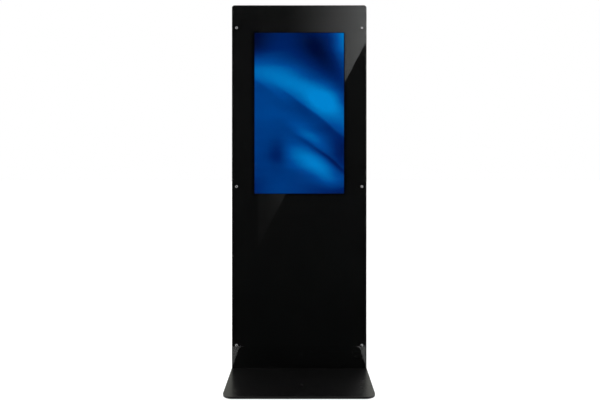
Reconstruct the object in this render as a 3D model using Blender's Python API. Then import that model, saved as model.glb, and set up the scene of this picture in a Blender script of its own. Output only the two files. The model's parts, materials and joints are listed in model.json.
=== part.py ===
"""Free-standing touchscreen kiosk: base plate, glazed upright case, display, electronics and rear door.

Metres. X runs along the kiosk's width, the screen faces -Y and Z is up. The origin is on the floor under the
middle of the base plate.
"""

import math

import bmesh
import bpy
from mathutils import Vector

# Overall
kiosk_width = 0.585
upright_height = 1.575  # from the base plate's top face
front_overhang = 0.320  # base plate in front of the glass
rear_overhang = 0.0396  # base plate behind the rear door
case_depth = 0.062
case_corner_radius = 0.012
sheet = 0.0015  # folded steel of the case and the door
gap = 0.0003  # left between pieces that touch
overshoot = 0.002  # how far a cutter runs past the face it cuts

# Base plate, pads, bracket and bolts
base_thickness = 0.008
base_corner_radius = 0.040
base_edge_chamfer = 0.0006
pad_radius = 0.015
pad_height = 0.002
pad_inset = 0.045  # from the plate's edges to a pad's centre
bracket_length = 0.420
bracket_foot = 0.045
bracket_leg = 0.060
bracket_thickness = 0.006
bolt_count = 3
bolt_spacing = 0.180
bolt_setback = 0.028  # from the bracket's heel to the bolts
bolt_radius = 0.005
bolt_head_radius = 0.0098
bolt_protrusion = 0.0054  # past the bracket
bolt_socket_radius = 0.0032
bolt_tip_chamfer = 0.001
hole_clearance = 0.0004  # added to a bolt's radius where it passes through

# Front glass, printed border and its screws
glass_thickness = 0.006
glass_bevel = 0.0015
glass_inset = 0.002  # glass edge inside the case edge
mask_thickness = 0.0003
screw_side_inset = 0.021
screw_end_inset = 0.100
screw_rows = 3
screw_radius = 0.003
screw_head_radius = 0.00525
screw_head_height = 0.0033
screw_socket_radius = 0.0021
screw_protrusion = 0.0116  # past the case's front sheet
washer_thickness = 0.0008  # nylon, between the head and the glass
glass_hole_clearance = 0.0008

# Display
active_width = 0.3929
active_height = 0.6984
window_side_cover = 0.00245  # active area that the border covers at each side
window_end_cover = 0.0007
window_top_margin = 0.1206  # from the case's top edge to the display window
touch_thickness = 0.0005
touch_margin = 0.004  # touch film past the window, each way
aperture_clearance = 0.002  # case opening past the touch film
bezel_border = 0.016
bezel_depth = 0.012
bezel_sheet = 0.0012
screen_margin = 0.005  # screen past the active area, each way
screen_thickness = 0.0016
backlight_depth = 0.012
backlight_rib_inset = 0.060
backlight_rib_height = 0.003
rail_height = 0.040
rail_depth = 0.014
rail_sheet = 0.002
rail_spacing = 0.400
board_width = 0.180
board_height = 0.110
board_thickness = 0.0016
board_cover_height = 0.012
board_cover_inset = 0.012

# Electronics below the display
component_clearance = 0.030
player_width = 0.180
player_height = 0.130
player_body_depth = 0.022
player_fin_depth = 0.008
player_fin_count = 15
player_side_inset = 0.075  # from the case's inner wall
player_bracket_width = 0.150
player_bracket_lip = 0.018
player_bracket_sheet = 0.0015
button_radius = 0.0057
button_clearance = 0.0004
button_proud = 0.0010
button_body = 0.0035
button_travel = 0.0010
button_floor_clearance = 0.0015
button_drop = 0.030  # below the player's top
supply_width = 0.110
supply_height = 0.200
supply_depth = 0.040
supply_side_inset = 0.046
terminal_height = 0.012
terminal_depth = 0.018
supply_edge_chamfer = 0.001
controller_width = 0.070
controller_height = 0.040
controller_chip = 0.016
controller_chip_height = 0.0015
controller_plug_width = 0.012
controller_plug_length = 0.022
controller_plug_height = 0.006
controller_plug_inset = 0.005  # from the board's side
lead_exit = 0.008  # straight stretch out of a connector
lead_sweep = 0.030  # height in which a lead turns upward
lead_sway = 0.006
lead_clearance = 0.006  # from the front sheet
lead_rail_clearance = 0.003

# Rear opening, sill and connectors
flange_width = 0.0345
rear_sill_height = 0.160
connector_height = 0.085  # above the base plate
inlet_side_inset = 0.1025  # from the kiosk's side
inlet_bezel_thickness = 0.0035
inlet_edge_chamfer = 0.0008
inlet_bezel_lip = 0.0026  # bezel past the body, each way
inlet_body_depth = 0.024
inlet_side_margin = 0.00375  # beside the recess
inlet_top_margin = 0.0025  # above the rocker
inlet_wall = 0.0025  # between the rocker and the fuse drawer
inlet_lower_wall = 0.00425  # between the fuse drawer and the recess
inlet_bottom_margin = 0.00725
cutout_clearance = 0.0003
recess_width = 0.0235
recess_height = 0.0165
recess_depth = 0.016
rocker_pocket_width = 0.0190
rocker_pocket_height = 0.0140
rocker_pocket_depth = 0.0120
rocker_tilt = math.radians(6)
rocker_axis_depth = 0.001  # behind the case's rear face
rocker_side_clearance = 0.0004
rocker_end_clearance = 0.0008
rocker_crest = 0.0052  # from the rocker's axis out to its two ends
rocker_hollow = 0.0036  # from the axis out to the middle of its concave face
rocker_shoulder = 0.0005
rocker_root = 0.0045  # from the axis in to its foot
rocker_root_half_height = 0.0040
fuse_width = 0.0204
fuse_height = 0.0084
fuse_depth = 0.021
fuse_clearance = 0.0003
fuse_lip = 0.0015
fuse_wall = 0.0012
fuse_front_wall = 0.003
network_offset = 0.0550  # from the inlet's middle
plate_margin = 0.018  # connector plate past the connectors' bodies
network_bezel_lip = 0.0035
network_bezel_thickness = 0.002
network_edge_chamfer = 0.0006
network_body = 0.0190
network_body_depth = 0.026
network_recess_width = 0.0118
network_recess_height = 0.0082
network_recess_depth = 0.0150

# Rear door, gasket, hinges and locks
door_overlap = 0.0125  # past the opening, each way
door_standoff = 0.0015
door_depth = 0.0100
door_corner_radius = 0.004
gasket_width = 0.008
hinge_end_inset = 0.180  # from the door's ends to the hinges' middles
hinge_height = 0.060
hinge_middle_knuckle = 0.030
hinge_knuckle_gap = 0.0005
hinge_barrel_radius = 0.004
hinge_leaf = 0.002
hinge_leaf_width = 0.0135
hinge_pin_radius = 0.0015
hinge_running_clearance = 0.0002
hinge_pin_cap_radius = 0.0026
hinge_pin_cap_height = 0.001
lock_inset = 0.020  # from the opening's edge
lock_end_inset = 0.300
lock_head_rim = 0.0015  # past the barrel
lock_head_height = 0.003
lock_head_chamfer = 0.0008
lock_barrel_radius = 0.0095
lock_plug_radius = 0.0056
lock_plug_clearance = 0.0003
lock_plug_proud = 0.0006
lock_barrel_overrun = 0.001  # past the flange that the cam reaches behind
keyway_width = 0.0012
keyway_height = 0.0070
keyway_depth = 0.0060
cam_engagement = 0.010  # behind the flange
cam_width = 0.016
cam_thickness = 0.002
cam_taper = 0.7  # tip width over full width

# Fans, vents and filter
fan_size = 0.092
fan_depth = 0.025
fan_spacing = 0.160
fan_edge_clearance = 0.012  # below the opening's top
fan_ring_wall = 0.0015
fan_screw_inset = 0.0045
fan_screw_radius = 0.0022
fan_edge_chamfer = 0.002
rotor_hub_chamfer = 0.002
spider_hub_rim = 0.0025  # past the rotor's hub
spider_thickness = 0.003
spider_arm_width = 0.005
spider_arm_seat = 0.0008  # arm end inside the ring's wall
rotor_hub_radius = 0.0165
rotor_tip_clearance = 0.002
rotor_clearance = 0.0010
blade_count = 7
blade_thickness = 0.0012
blade_root_chord = 0.0150
blade_tip_chord = 0.0220
blade_root_pitch = math.radians(45)
blade_tip_pitch = math.radians(25)
slot_length = 0.070
slot_height = 0.004
slot_pitch = 0.009
slot_rows = 9
lower_vent_rise = 0.090  # above the opening's lower edge
filter_margin = 0.012
filter_thickness = 0.006

# Internal leads
mains_lead_radius = 0.0035
display_lead_radius = 0.0030
lead_point_spacing = 0.014
lead_bevel_resolution = 2

# Levels and faces worked out from the sizes above
plate_bottom = pad_height + gap
plate_top = plate_bottom + base_thickness
case_bottom = plate_top + gap
case_top = plate_top + upright_height
case_half = kiosk_width / 2
upright_depth = glass_thickness + gap + mask_thickness + gap + case_depth + door_standoff + door_depth
base_depth = front_overhang + upright_depth + rear_overhang
glass_front = front_overhang - base_depth / 2
mask_front = glass_front + glass_thickness + gap
case_front = mask_front + mask_thickness + gap
case_back = case_front + case_depth
inside_front = case_front + sheet
inside_half = case_half - sheet
opening_half = case_half - flange_width
opening_bottom = plate_top + rear_sill_height
opening_top = case_top - flange_width
door_half = opening_half + door_overlap
door_bottom = opening_bottom - door_overlap
door_top = opening_top + door_overlap
door_front = case_back + door_standoff
door_back = door_front + door_depth
door_inner = door_back - sheet
window_width = active_width - 2 * window_side_cover
window_height = active_height - 2 * window_end_cover
window_centre = case_top - window_top_margin - window_height / 2
touch_width = window_width + 2 * touch_margin
touch_height = window_height + 2 * touch_margin
bezel_width = active_width + 2 * bezel_border
bezel_height = active_height + 2 * bezel_border
bezel_front = inside_front + gap
screen_front = bezel_front + bezel_sheet + gap
backlight_front = screen_front + screen_thickness + gap
backlight_back = backlight_front + backlight_depth
rib_back = backlight_back + backlight_rib_height
component_top = window_centre - bezel_height / 2 - component_clearance
inlet_x = case_half - inlet_side_inset
connector_z = plate_top + connector_height
fan_z = opening_top - fan_edge_clearance - fan_size / 2
fan_front = door_inner - gap - fan_depth
lower_vent_z = opening_bottom + lower_vent_rise
hinge_x = door_half + gap + hinge_barrel_radius
hinge_y = case_back + gap + hinge_barrel_radius
screw_x = case_half - screw_side_inset
screw_low = plate_top + screw_end_inset
screw_high = case_top - screw_end_inset
bolt_y = inside_front + gap + bolt_setback
bolt_length = base_thickness + gap + sheet + gap + bracket_thickness + bolt_protrusion
screw_length = inside_front - glass_front + screw_protrusion
button_pocket = button_body + button_travel + button_floor_clearance
fuse_opening = fuse_height + 2 * fuse_clearance
inlet_bezel_width = recess_width + 2 * inlet_side_margin
inlet_stack = [inlet_top_margin, rocker_pocket_height, inlet_wall, fuse_opening, inlet_lower_wall]
inlet_stack.append(recess_height)
inlet_bezel_height = sum(inlet_stack) + inlet_bottom_margin
inlet_body_width = inlet_bezel_width - 2 * inlet_bezel_lip
inlet_body_height = inlet_bezel_height - 2 * inlet_bezel_lip
rocker_rise = inlet_bezel_height / 2 - sum(inlet_stack[:1]) - rocker_pocket_height / 2
fuse_rise = inlet_bezel_height / 2 - sum(inlet_stack[:3]) - fuse_opening / 2
recess_rise = inlet_bezel_height / 2 - sum(inlet_stack[:5]) - recess_height / 2
rocker_half_height = rocker_pocket_height / 2 - rocker_end_clearance
network_bezel = network_body + 2 * network_bezel_lip
lock_head_radius = lock_barrel_radius + lock_head_rim
lock_barrel_length = door_back - case_back + sheet + lock_barrel_overrun
cam_reach = lock_inset + cam_engagement
fan_bore_radius = fan_size / 2 - fan_ring_wall
fan_screw_spacing = fan_size - 2 * fan_screw_inset
rotor_tip_radius = fan_bore_radius - rotor_tip_clearance
spider_hub_radius = rotor_hub_radius + spider_hub_rim
spider_arm_reach = fan_bore_radius + spider_arm_seat

plane_axes = {"xy": (0, 1, 2), "xz": (0, 2, 1), "yz": (1, 2, 0)}


def clear_scene():
    for item in list(bpy.data.objects):
        bpy.data.objects.remove(item, do_unlink=True)


def finish(name, colour, roughness, metallic=0.0):
    made = bpy.data.materials.new(name)
    made.use_nodes = True
    shader = made.node_tree.nodes["Principled BSDF"]
    shader.inputs["Base Color"].default_value = (*colour, 1.0)
    shader.inputs["Roughness"].default_value = roughness
    shader.inputs["Metallic"].default_value = metallic
    return made


# Outlines are lists of points in a plane, anticlockwise


def rounded_outline(half_width, bottom, top, lower_radius, upper_radius, steps=6):
    """A rectangle whose corners are arcs; a radius of 0 leaves the corner sharp."""
    corners = (
        (half_width - lower_radius, bottom + lower_radius, lower_radius, -90),
        (half_width - upper_radius, top - upper_radius, upper_radius, 0),
        (upper_radius - half_width, top - upper_radius, upper_radius, 90),
        (lower_radius - half_width, bottom + lower_radius, lower_radius, 180),
    )
    points = []
    for u, v, radius, start in corners:
        count = steps if radius > 0 else 0
        for step in range(count + 1):
            angle = math.radians(start + 90 * step / max(count, 1))
            points.append((u + radius * math.cos(angle), v + radius * math.sin(angle)))
    return points


def slot_outline(length, height, u, v, steps=3):
    """A slot with half-round ends, centred on a point."""
    radius = height / 2
    points = []
    for side, start in ((1, -90), (-1, 90)):
        for step in range(steps + 1):
            angle = math.radians(start + 180 * step / steps)
            middle = u + side * (length / 2 - radius)
            points.append((middle + radius * math.cos(angle), v + radius * math.sin(angle)))
    return points


def hexagon_outline(radius):
    turn = math.pi / 3
    return [(radius * math.cos(turn * i), radius * math.sin(turn * i)) for i in range(6)]


def channel_outline(depth, half, t):
    """A channel's section: a web along v and two lips that point along +u."""
    lower = [(0, -half), (depth, -half), (depth, t - half), (t, t - half)]
    return lower + [(u, -v) for u, v in reversed(lower)]


# Shapes are closed bmeshes in the frame of the object they go into


def prism(outline, plane, low, high):
    """An outline drawn in one plane and extruded across it from low to high."""
    first, second, across = plane_axes[plane]
    shape = bmesh.new()
    corners = []
    for u, v in outline:
        place = [0.0, 0.0, 0.0]
        place[first], place[second], place[across] = u, v, low
        corners.append(shape.verts.new(place))
    lifted = bmesh.ops.extrude_face_region(shape, geom=[shape.faces.new(corners)])
    moved = [item for item in lifted["geom"] if isinstance(item, bmesh.types.BMVert)]
    shift = Vector((0.0, 0.0, 0.0))
    shift[across] = high - low
    bmesh.ops.translate(shape, verts=moved, vec=shift)
    bmesh.ops.recalc_face_normals(shape, faces=shape.faces)
    return shape


def box(low, high):
    """A box between its lowest and highest corners."""
    shape = bmesh.new()
    made = bmesh.ops.create_cube(shape, size=1.0)
    size = Vector(high) - Vector(low)
    bmesh.ops.scale(shape, verts=made["verts"], vec=size)
    bmesh.ops.translate(shape, verts=made["verts"], vec=(Vector(low) + Vector(high)) / 2)
    return shape


def turned(profile, axis, centre=(0, 0, 0), segments=16):
    """A profile of (radius, distance along the axis) points turned once round an axis through centre."""
    along = Vector([1.0 if name == axis else 0.0 for name in "xyz"])
    outward = along.yzx
    shape = bmesh.new()
    points = [shape.verts.new(Vector(centre) + outward * radius + along * way) for radius, way in profile]
    edges = [shape.edges.new(pair) for pair in zip(points, points[1:])]
    bmesh.ops.spin(
        shape, geom=points + edges, cent=centre, axis=along, angle=2 * math.pi, steps=segments, use_merge=True
    )
    bmesh.ops.remove_doubles(shape, verts=shape.verts, dist=1e-6)
    bmesh.ops.recalc_face_normals(shape, faces=shape.faces)
    return shape


def rod(radius, axis, start, end, centre=(0, 0, 0), segments=16):
    """A plain round bar between two distances along an axis."""
    return turned([(0, start), (radius, start), (radius, end), (0, end)], axis, centre, segments)


def gathered(shapes):
    """Separate shapes in one mesh, for one Boolean."""
    whole = bmesh.new()
    for shape in shapes:
        mesh = bpy.data.meshes.new("loose")
        shape.to_mesh(mesh)
        shape.free()
        whole.from_mesh(mesh)
        bpy.data.meshes.remove(mesh)
    return whole


# Objects


def world_place(item):
    """Where an unturned object stands, through its chain of parents."""
    return item.location + world_place(item.parent) if item.parent else item.location.copy()


def place_at(item, place, parent):
    if parent is None:
        item.location = place
        return
    item.parent = parent
    item.location = Vector(place) - world_place(parent)


def make(name, shape, coat, place, parent=None, smooth=False):
    """An object from a shape whose coordinates count from place, which is a world position."""
    mesh = bpy.data.meshes.new(name)
    shape.to_mesh(mesh)
    shape.free()
    mesh.materials.append(coat)
    if smooth:
        mesh.shade_smooth()
        mesh.set_sharp_from_angle(angle=math.radians(35))
    made = bpy.data.objects.new(name, mesh)
    bpy.context.collection.objects.link(made)
    place_at(made, place, parent)
    return made


def guide(name, place):
    """An empty that carries a moving group on its joint's axis."""
    made = bpy.data.objects.new(name, None)
    bpy.context.collection.objects.link(made)
    made.location = place
    return made


def combine(target, operation, shapes):
    """One EXACT Boolean of shapes that are given in the target's own frame."""
    tool_name = f"{target.name}_{operation.lower()}_{len(target.modifiers)}"
    tool = make(tool_name, gathered(shapes), target.data.materials[0], world_place(target), target)
    tool.hide_render = True
    tool.display_type = "WIRE"
    step = target.modifiers.new(operation.title(), "BOOLEAN")
    step.operation = operation
    step.solver = "EXACT"
    step.object = tool


def cut(target, *shapes):
    combine(target, "DIFFERENCE", shapes)


def add(target, *shapes):
    combine(target, "UNION", shapes)


def soften(target, width):
    """A small chamfer on every sharp edge that the object has so far."""
    step = target.modifiers.new("Bevel", "BEVEL")
    step.width = width
    step.segments = 1
    step.limit_method = "ANGLE"
    step.angle_limit = math.radians(40)


# Places that more than one piece uses


def screw_places():
    """Centres of the glass screws across the front, as (x, z)."""
    step = (screw_high - screw_low) / (screw_rows - 1)
    return [(side * screw_x, screw_low + step * row) for row in range(screw_rows) for side in (-1, 1)]


def bolt_places():
    """Centres of the base bolts, as (x, y)."""
    return [(bolt_spacing * (number - (bolt_count - 1) / 2), bolt_y) for number in range(bolt_count)]


def hinge_levels():
    return {"lower": door_bottom + hinge_end_inset, "upper": door_top - hinge_end_inset}


def lock_levels():
    return {"lower": door_bottom + lock_end_inset, "upper": door_top - lock_end_inset}


# Base


def build_base_plate(coat):
    radius = base_corner_radius
    outline = rounded_outline(case_half, -base_depth / 2, base_depth / 2, radius, radius, 8)
    plate = make("base_plate", prism(outline, "xy", 0, base_thickness), coat, (0, 0, plate_bottom))
    soften(plate, base_edge_chamfer)
    hole = bolt_radius + hole_clearance
    sink = bolt_head_radius + hole_clearance
    profile = [
        (0, -overshoot),
        (sink, -overshoot),
        (sink, gap),
        (hole, gap + sink - hole),
        (hole, base_thickness + overshoot),
        (0, base_thickness + overshoot),
    ]
    cut(plate, *[turned(profile, "z", (x, y, 0)) for x, y in bolt_places()])


def build_foot_pads(coat):
    chamfer = pad_height / 4
    profile = [
        (0, 0),
        (pad_radius - chamfer, 0),
        (pad_radius, chamfer),
        (pad_radius, pad_height),
        (0, pad_height),
    ]
    x = case_half - pad_inset
    y = base_depth / 2 - pad_inset
    corners = {"front_left": (-x, -y), "front_right": (x, -y), "rear_left": (-x, y), "rear_right": (x, y)}
    for name, (px, py) in corners.items():
        make(f"foot_pad_{name}", turned(profile, "z", segments=20), coat, (px, py, 0), smooth=True)


def build_base_bracket(coat):
    """An angle along the inside of the front sheet, through which the bolts hold the upright to the plate."""
    t = bracket_thickness
    section = [(0, 0), (bracket_foot, 0), (bracket_foot, t), (t, t), (t, bracket_leg), (0, bracket_leg)]
    shape = prism(section, "yz", -bracket_length / 2, bracket_length / 2)
    bracket = make("base_bracket", shape, coat, (0, inside_front + gap, case_bottom + sheet + gap))
    hole = bolt_radius + gap
    cut(bracket, *[rod(hole, "z", -overshoot, t + overshoot, (x, bolt_setback, 0)) for x, y in bolt_places()])


def build_base_bolts(coat):
    cone = bolt_head_radius - bolt_radius
    tip = bolt_tip_chamfer
    profile = [
        (0, gap),
        (bolt_head_radius, gap),
        (bolt_radius, gap + cone),
        (bolt_radius, bolt_length - tip),
        (bolt_radius - tip, bolt_length),
        (0, bolt_length),
    ]
    for number, (x, y) in enumerate(bolt_places(), 1):
        bolt = make(f"base_bolt_{number}", turned(profile, "z"), coat, (x, y, plate_bottom), smooth=True)
        socket = prism(hexagon_outline(bolt_socket_radius), "xy", -overshoot, cone)
        cut(bolt, socket)


# Upright


def case_outline(inward):
    """The upright's outline moved inward, counted from the case's bottom edge."""
    height = case_top - case_bottom
    radius = case_corner_radius - inward
    return rounded_outline(case_half - inward, inward, height - inward, 0, radius)


def build_case(coat):
    """A steel band makes the sides, top and bottom; a front sheet and a rear frame are welded into it."""
    band = make("case_band", prism(case_outline(0), "xz", 0, case_depth), coat, (0, case_front, case_bottom))
    cut(band, prism(case_outline(sheet), "xz", -overshoot, case_depth + overshoot))
    bolt_hole = bolt_radius + hole_clearance
    through = (-overshoot, sheet + overshoot)
    cut(band, *[rod(bolt_hole, "z", *through, (x, y - case_front, 0), 12) for x, y in bolt_places()])
    build_front_sheet(coat)
    build_rear_frame(coat)


def build_front_sheet(coat):
    plate = make(
        "front_sheet", prism(case_outline(sheet + gap), "xz", 0, sheet), coat, (0, case_front, case_bottom)
    )
    middle = window_centre - case_bottom
    half = touch_width / 2 + aperture_clearance
    rise = touch_height / 2 + aperture_clearance
    through = (-overshoot, sheet + overshoot)
    hole = screw_radius + gap
    cut(
        plate,
        prism(rounded_outline(half, middle - rise, middle + rise, 0, 0), "xz", *through),
        *[rod(hole, "y", *through, (x, 0, z - case_bottom), 12) for x, z in screw_places()],
    )


def build_rear_frame(coat):
    """A flat frame round the top and sides of the door's opening, with a deep sill below it."""
    place = (0, case_back - sheet, case_bottom)
    through = (-overshoot, sheet + overshoot)
    frame = make("rear_frame", prism(case_outline(sheet + gap), "xz", 0, sheet), coat, place)
    low = (-opening_half, through[0], opening_bottom - case_bottom)
    opening = box(low, (opening_half, through[1], opening_top - case_bottom))
    sill_top = opening_bottom - case_bottom
    reach = case_half + overshoot
    cut(frame, opening)
    cut(frame, box((-reach, through[0], -overshoot), (reach, through[1], sill_top + gap / 2)))
    edge = sheet + gap
    half = case_half - edge
    sill = make("rear_sill", box((-half, 0, edge), (half, sheet, sill_top - gap / 2)), coat, place)
    build_connector_plate(sill, coat, place)


def build_connector_plate(sill, coat, place):
    """The plate that holds the inlet and the network socket is set flush into the sill."""
    z = connector_z - case_bottom
    inlet = (inlet_body_width / 2 + cutout_clearance, inlet_body_height / 2 + cutout_clearance)
    socket = network_body / 2 + cutout_clearance
    network_x = inlet_x - network_offset
    left = network_x - network_body / 2 - plate_margin
    right = inlet_x + inlet_body_width / 2 + plate_margin
    rise = inlet_body_height / 2 + plate_margin
    through = (-overshoot, sheet + overshoot)
    cut(sill, box((left, through[0], z - rise), (right, through[1], z + rise)))
    shape = box((left + gap, 0, z - rise + gap), (right - gap, sheet, z + rise - gap))
    plate = make("connector_plate", shape, coat, place)
    cut(
        plate,
        box((inlet_x - inlet[0], through[0], z - inlet[1]), (inlet_x + inlet[0], through[1], z + inlet[1])),
        box((network_x - socket, through[0], z - socket), (network_x + socket, through[1], z + socket)),
    )


def build_glass(coat):
    shape = prism(case_outline(glass_inset), "xz", 0, glass_thickness)
    rim = [edge for edge in shape.edges if all(abs(corner.co.y) < 1e-6 for corner in edge.verts)]
    bmesh.ops.bevel(shape, geom=rim, offset=glass_bevel, segments=1, affect="EDGES")
    glass = make("front_glass", shape, coat, (0, glass_front, case_bottom))
    hole = screw_radius + glass_hole_clearance
    ends = (-overshoot, glass_thickness + overshoot)
    cut(glass, *[rod(hole, "y", *ends, (x, 0, z - case_bottom)) for x, z in screw_places()])


def build_mask(coat):
    shape = prism(case_outline(glass_inset), "xz", 0, mask_thickness)
    mask = make("border_mask", shape, coat, (0, mask_front, case_bottom))
    middle = window_centre - case_bottom
    window = rounded_outline(window_width / 2, middle - window_height / 2, middle + window_height / 2, 0, 0)
    hole = screw_radius + glass_hole_clearance
    ends = (-overshoot, mask_thickness + overshoot)
    cut(
        mask,
        prism(window, "xz", *ends),
        *[rod(hole, "y", *ends, (x, 0, z - case_bottom)) for x, z in screw_places()],
    )


def build_glass_screws(coat):
    """Button-head screws: the head is an arc that falls from the socket's rim to the head's edge."""
    under = -washer_thickness - gap
    arc_steps = 3
    profile = [(0, under - screw_head_height)]
    for step in range(arc_steps + 1):
        angle = math.pi / 2 * (0.35 + 0.65 * step / arc_steps)
        profile.append((screw_head_radius * math.sin(angle), under - screw_head_height * math.cos(angle)))
    profile[0] = (0, profile[1][1])
    profile += [(screw_radius, under), (screw_radius, screw_length), (0, screw_length)]
    places = screw_places()
    for number, (x, z) in enumerate(places, 1):
        name = f"glass_screw_{number}"
        screw = make(name, turned(profile, "y"), coat, (x, glass_front, z), smooth=True)
        ends = (under - screw_head_height - overshoot, under - screw_head_height / 3)
        cut(screw, prism(hexagon_outline(screw_socket_radius), "xz", *ends))


# Display


def build_touch(film_coat, board_coat):
    pane = (touch_width / 2, touch_height / 2)
    film = box((-pane[0], 0, -pane[1]), (pane[0], touch_thickness, pane[1]))
    make("touch_film", film, film_coat, (0, case_front, window_centre))
    half = (controller_width / 2, controller_height / 2)
    between = (player_place().x + player_width / 2 + supply_place().x - supply_width / 2) / 2
    board = make(
        "touch_controller",
        box((-half[0], 0, -half[1]), (half[0], board_thickness, half[1])),
        board_coat,
        (between, inside_front + gap, component_top - half[1]),
    )
    chip_base = board_thickness / 2
    chip = controller_chip / 2
    plug_end = half[0] - controller_plug_inset
    add(
        board,
        box((-chip, chip_base, -chip), (chip, board_thickness + controller_chip_height, chip)),
        box(
            (plug_end - controller_plug_width, chip_base, -controller_plug_length / 2),
            (plug_end, board_thickness + controller_plug_height, controller_plug_length / 2),
        ),
    )


def build_display(metal_coat, screen_coat, tray_coat):
    half = (bezel_width / 2, bezel_height / 2)
    frame = make(
        "display_bezel",
        box((-half[0], 0, -half[1]), (half[0], bezel_depth, half[1])),
        metal_coat,
        (0, bezel_front, window_centre),
    )
    inner = (half[0] - bezel_sheet, half[1] - bezel_sheet)
    cut(frame, box((-inner[0], bezel_sheet, -inner[1]), (inner[0], bezel_depth + overshoot, inner[1])))
    sight = (active_width / 2, active_height / 2)
    cut(frame, box((-sight[0], -overshoot, -sight[1]), (sight[0], bezel_sheet + overshoot, sight[1])))
    pane = (sight[0] + screen_margin, sight[1] + screen_margin)
    make(
        "display_screen",
        box((-pane[0], 0, -pane[1]), (pane[0], screen_thickness, pane[1])),
        screen_coat,
        (0, screen_front, window_centre),
    )
    tray = (inner[0] - gap, inner[1] - gap)
    shape = box((-tray[0], 0, -tray[1]), (tray[0], backlight_depth, tray[1]))
    back = [face for face in shape.faces if face.calc_center_median().y > backlight_depth - 1e-6]
    bmesh.ops.inset_region(shape, faces=back, thickness=backlight_rib_inset)
    for slope in (0.0, backlight_rib_height):
        bmesh.ops.inset_region(shape, faces=back, thickness=backlight_rib_height, depth=slope)
    make("backlight_tray", shape, tray_coat, (0, backlight_front, window_centre))


def build_display_rails(coat):
    """Two channels across the case that press the display forward."""
    section = channel_outline(rail_depth, rail_height / 2, rail_sheet)
    reach = inside_half - gap
    for name, side in (("lower", -1), ("upper", 1)):
        z = window_centre + side * rail_spacing / 2
        make(f"display_rail_{name}", prism(section, "yz", -reach, reach), coat, (0, rib_back + gap, z))


def build_display_board(coat):
    half = (board_width / 2, board_height / 2)
    board = make(
        "display_board",
        box((-half[0], 0, -half[1]), (half[0], board_thickness, half[1])),
        coat,
        (0, rib_back + gap, window_centre),
    )
    cover = (half[0] - board_cover_inset, half[1] - board_cover_inset)
    add(board, box((-cover[0], board_thickness / 2, -cover[1]), (cover[0], board_cover_height, cover[1])))


# Electronics


def player_place():
    x = player_side_inset + player_width / 2 - inside_half
    y = inside_front + gap + player_bracket_sheet + gap
    return Vector((x, y, component_top - player_height / 2))


def build_player(case_coat, bracket_coat, button_coat):
    """A finned case: its plan is a comb whose teeth are the cooling fins."""
    half = player_width / 2
    pitch = player_width / (2 * player_fin_count - 1)
    fin_tip = player_body_depth + player_fin_depth
    plan = [(-half, 0), (half, 0)]
    for fin in range(player_fin_count):
        edge = half - 2 * pitch * fin
        plan += [(edge, fin_tip), (edge - pitch, fin_tip)]
        if fin < player_fin_count - 1:
            plan += [(edge - pitch, player_body_depth), (edge - 2 * pitch, player_body_depth)]
    place = player_place()
    tall = player_height / 2
    case = make("media_player", prism(plan, "xy", -tall, tall), case_coat, place)
    button_z = tall - button_drop
    middle = player_body_depth / 2
    hole = button_radius + button_clearance
    cut(case, rod(hole, "x", -half - overshoot, button_pocket - half, (0, middle, button_z)))
    lip = player_bracket_lip
    t = player_bracket_sheet
    rise = tall + gap + t
    section = channel_outline(lip, rise, t)
    reach = player_bracket_width / 2
    bracket_place = place - Vector((0, gap + t, 0))
    make("player_bracket", prism(section, "yz", -reach, reach), bracket_coat, bracket_place)
    button_place = place + Vector((-half, middle, button_z))
    chamfer = button_proud / 3
    profile = [
        (0, -button_proud),
        (button_radius - chamfer, -button_proud),
        (button_radius, chamfer - button_proud),
        (button_radius, button_body),
        (0, button_body),
    ]
    make("player_button", turned(profile, "x"), button_coat, button_place, smooth=True)


def supply_place():
    x = inside_half - supply_side_inset - supply_width / 2
    return Vector((x, inside_front + gap, component_top - supply_height / 2))


def build_supply(coat):
    half = (supply_width / 2, supply_height / 2)
    supply = make(
        "power_supply", box((-half[0], 0, -half[1]), (half[0], supply_depth, half[1])), coat, supply_place()
    )
    soften(supply, supply_edge_chamfer)
    ledge = box(
        (-half[0] - overshoot, terminal_depth, -half[1] - overshoot),
        (half[0] + overshoot, supply_depth + overshoot, terminal_height - half[1]),
    )
    cut(supply, ledge)


# Rear connectors


def pocket(width, height, floor, face, rise=0):
    """A cutter for a rectangular pocket that opens to the rear."""
    return box((-width / 2, floor, rise - height / 2), (width / 2, face + overshoot, rise + height / 2))


def build_inlet(body_coat, rocker_coat, drawer_coat):
    """Mains inlet: rocker switch on top, fuse drawer in the middle, recess for the plug below."""
    place = Vector((inlet_x, case_back, connector_z))
    half = (inlet_bezel_width / 2, inlet_bezel_height / 2)
    face = gap + inlet_bezel_thickness
    inlet = make("power_inlet", box((-half[0], gap, -half[1]), (half[0], face, half[1])), body_coat, place)
    soften(inlet, inlet_edge_chamfer)
    body = (inlet_body_width / 2, inlet_body_height / 2)
    root = gap + inlet_bezel_thickness / 2
    add(inlet, box((-body[0], gap - inlet_body_depth, -body[1]), (body[0], root, body[1])))
    pockets = (
        (recess_width, recess_height, recess_depth, recess_rise),
        (rocker_pocket_width, rocker_pocket_height, rocker_pocket_depth, rocker_rise),
        (fuse_width + 2 * fuse_clearance, fuse_opening, fuse_depth + gap, fuse_rise),
    )
    cut(inlet, *[pocket(width, height, face - depth, face, rise) for width, height, depth, rise in pockets])
    build_rocker(rocker_coat, place)
    build_fuse_drawer(drawer_coat, place, face)


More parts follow.
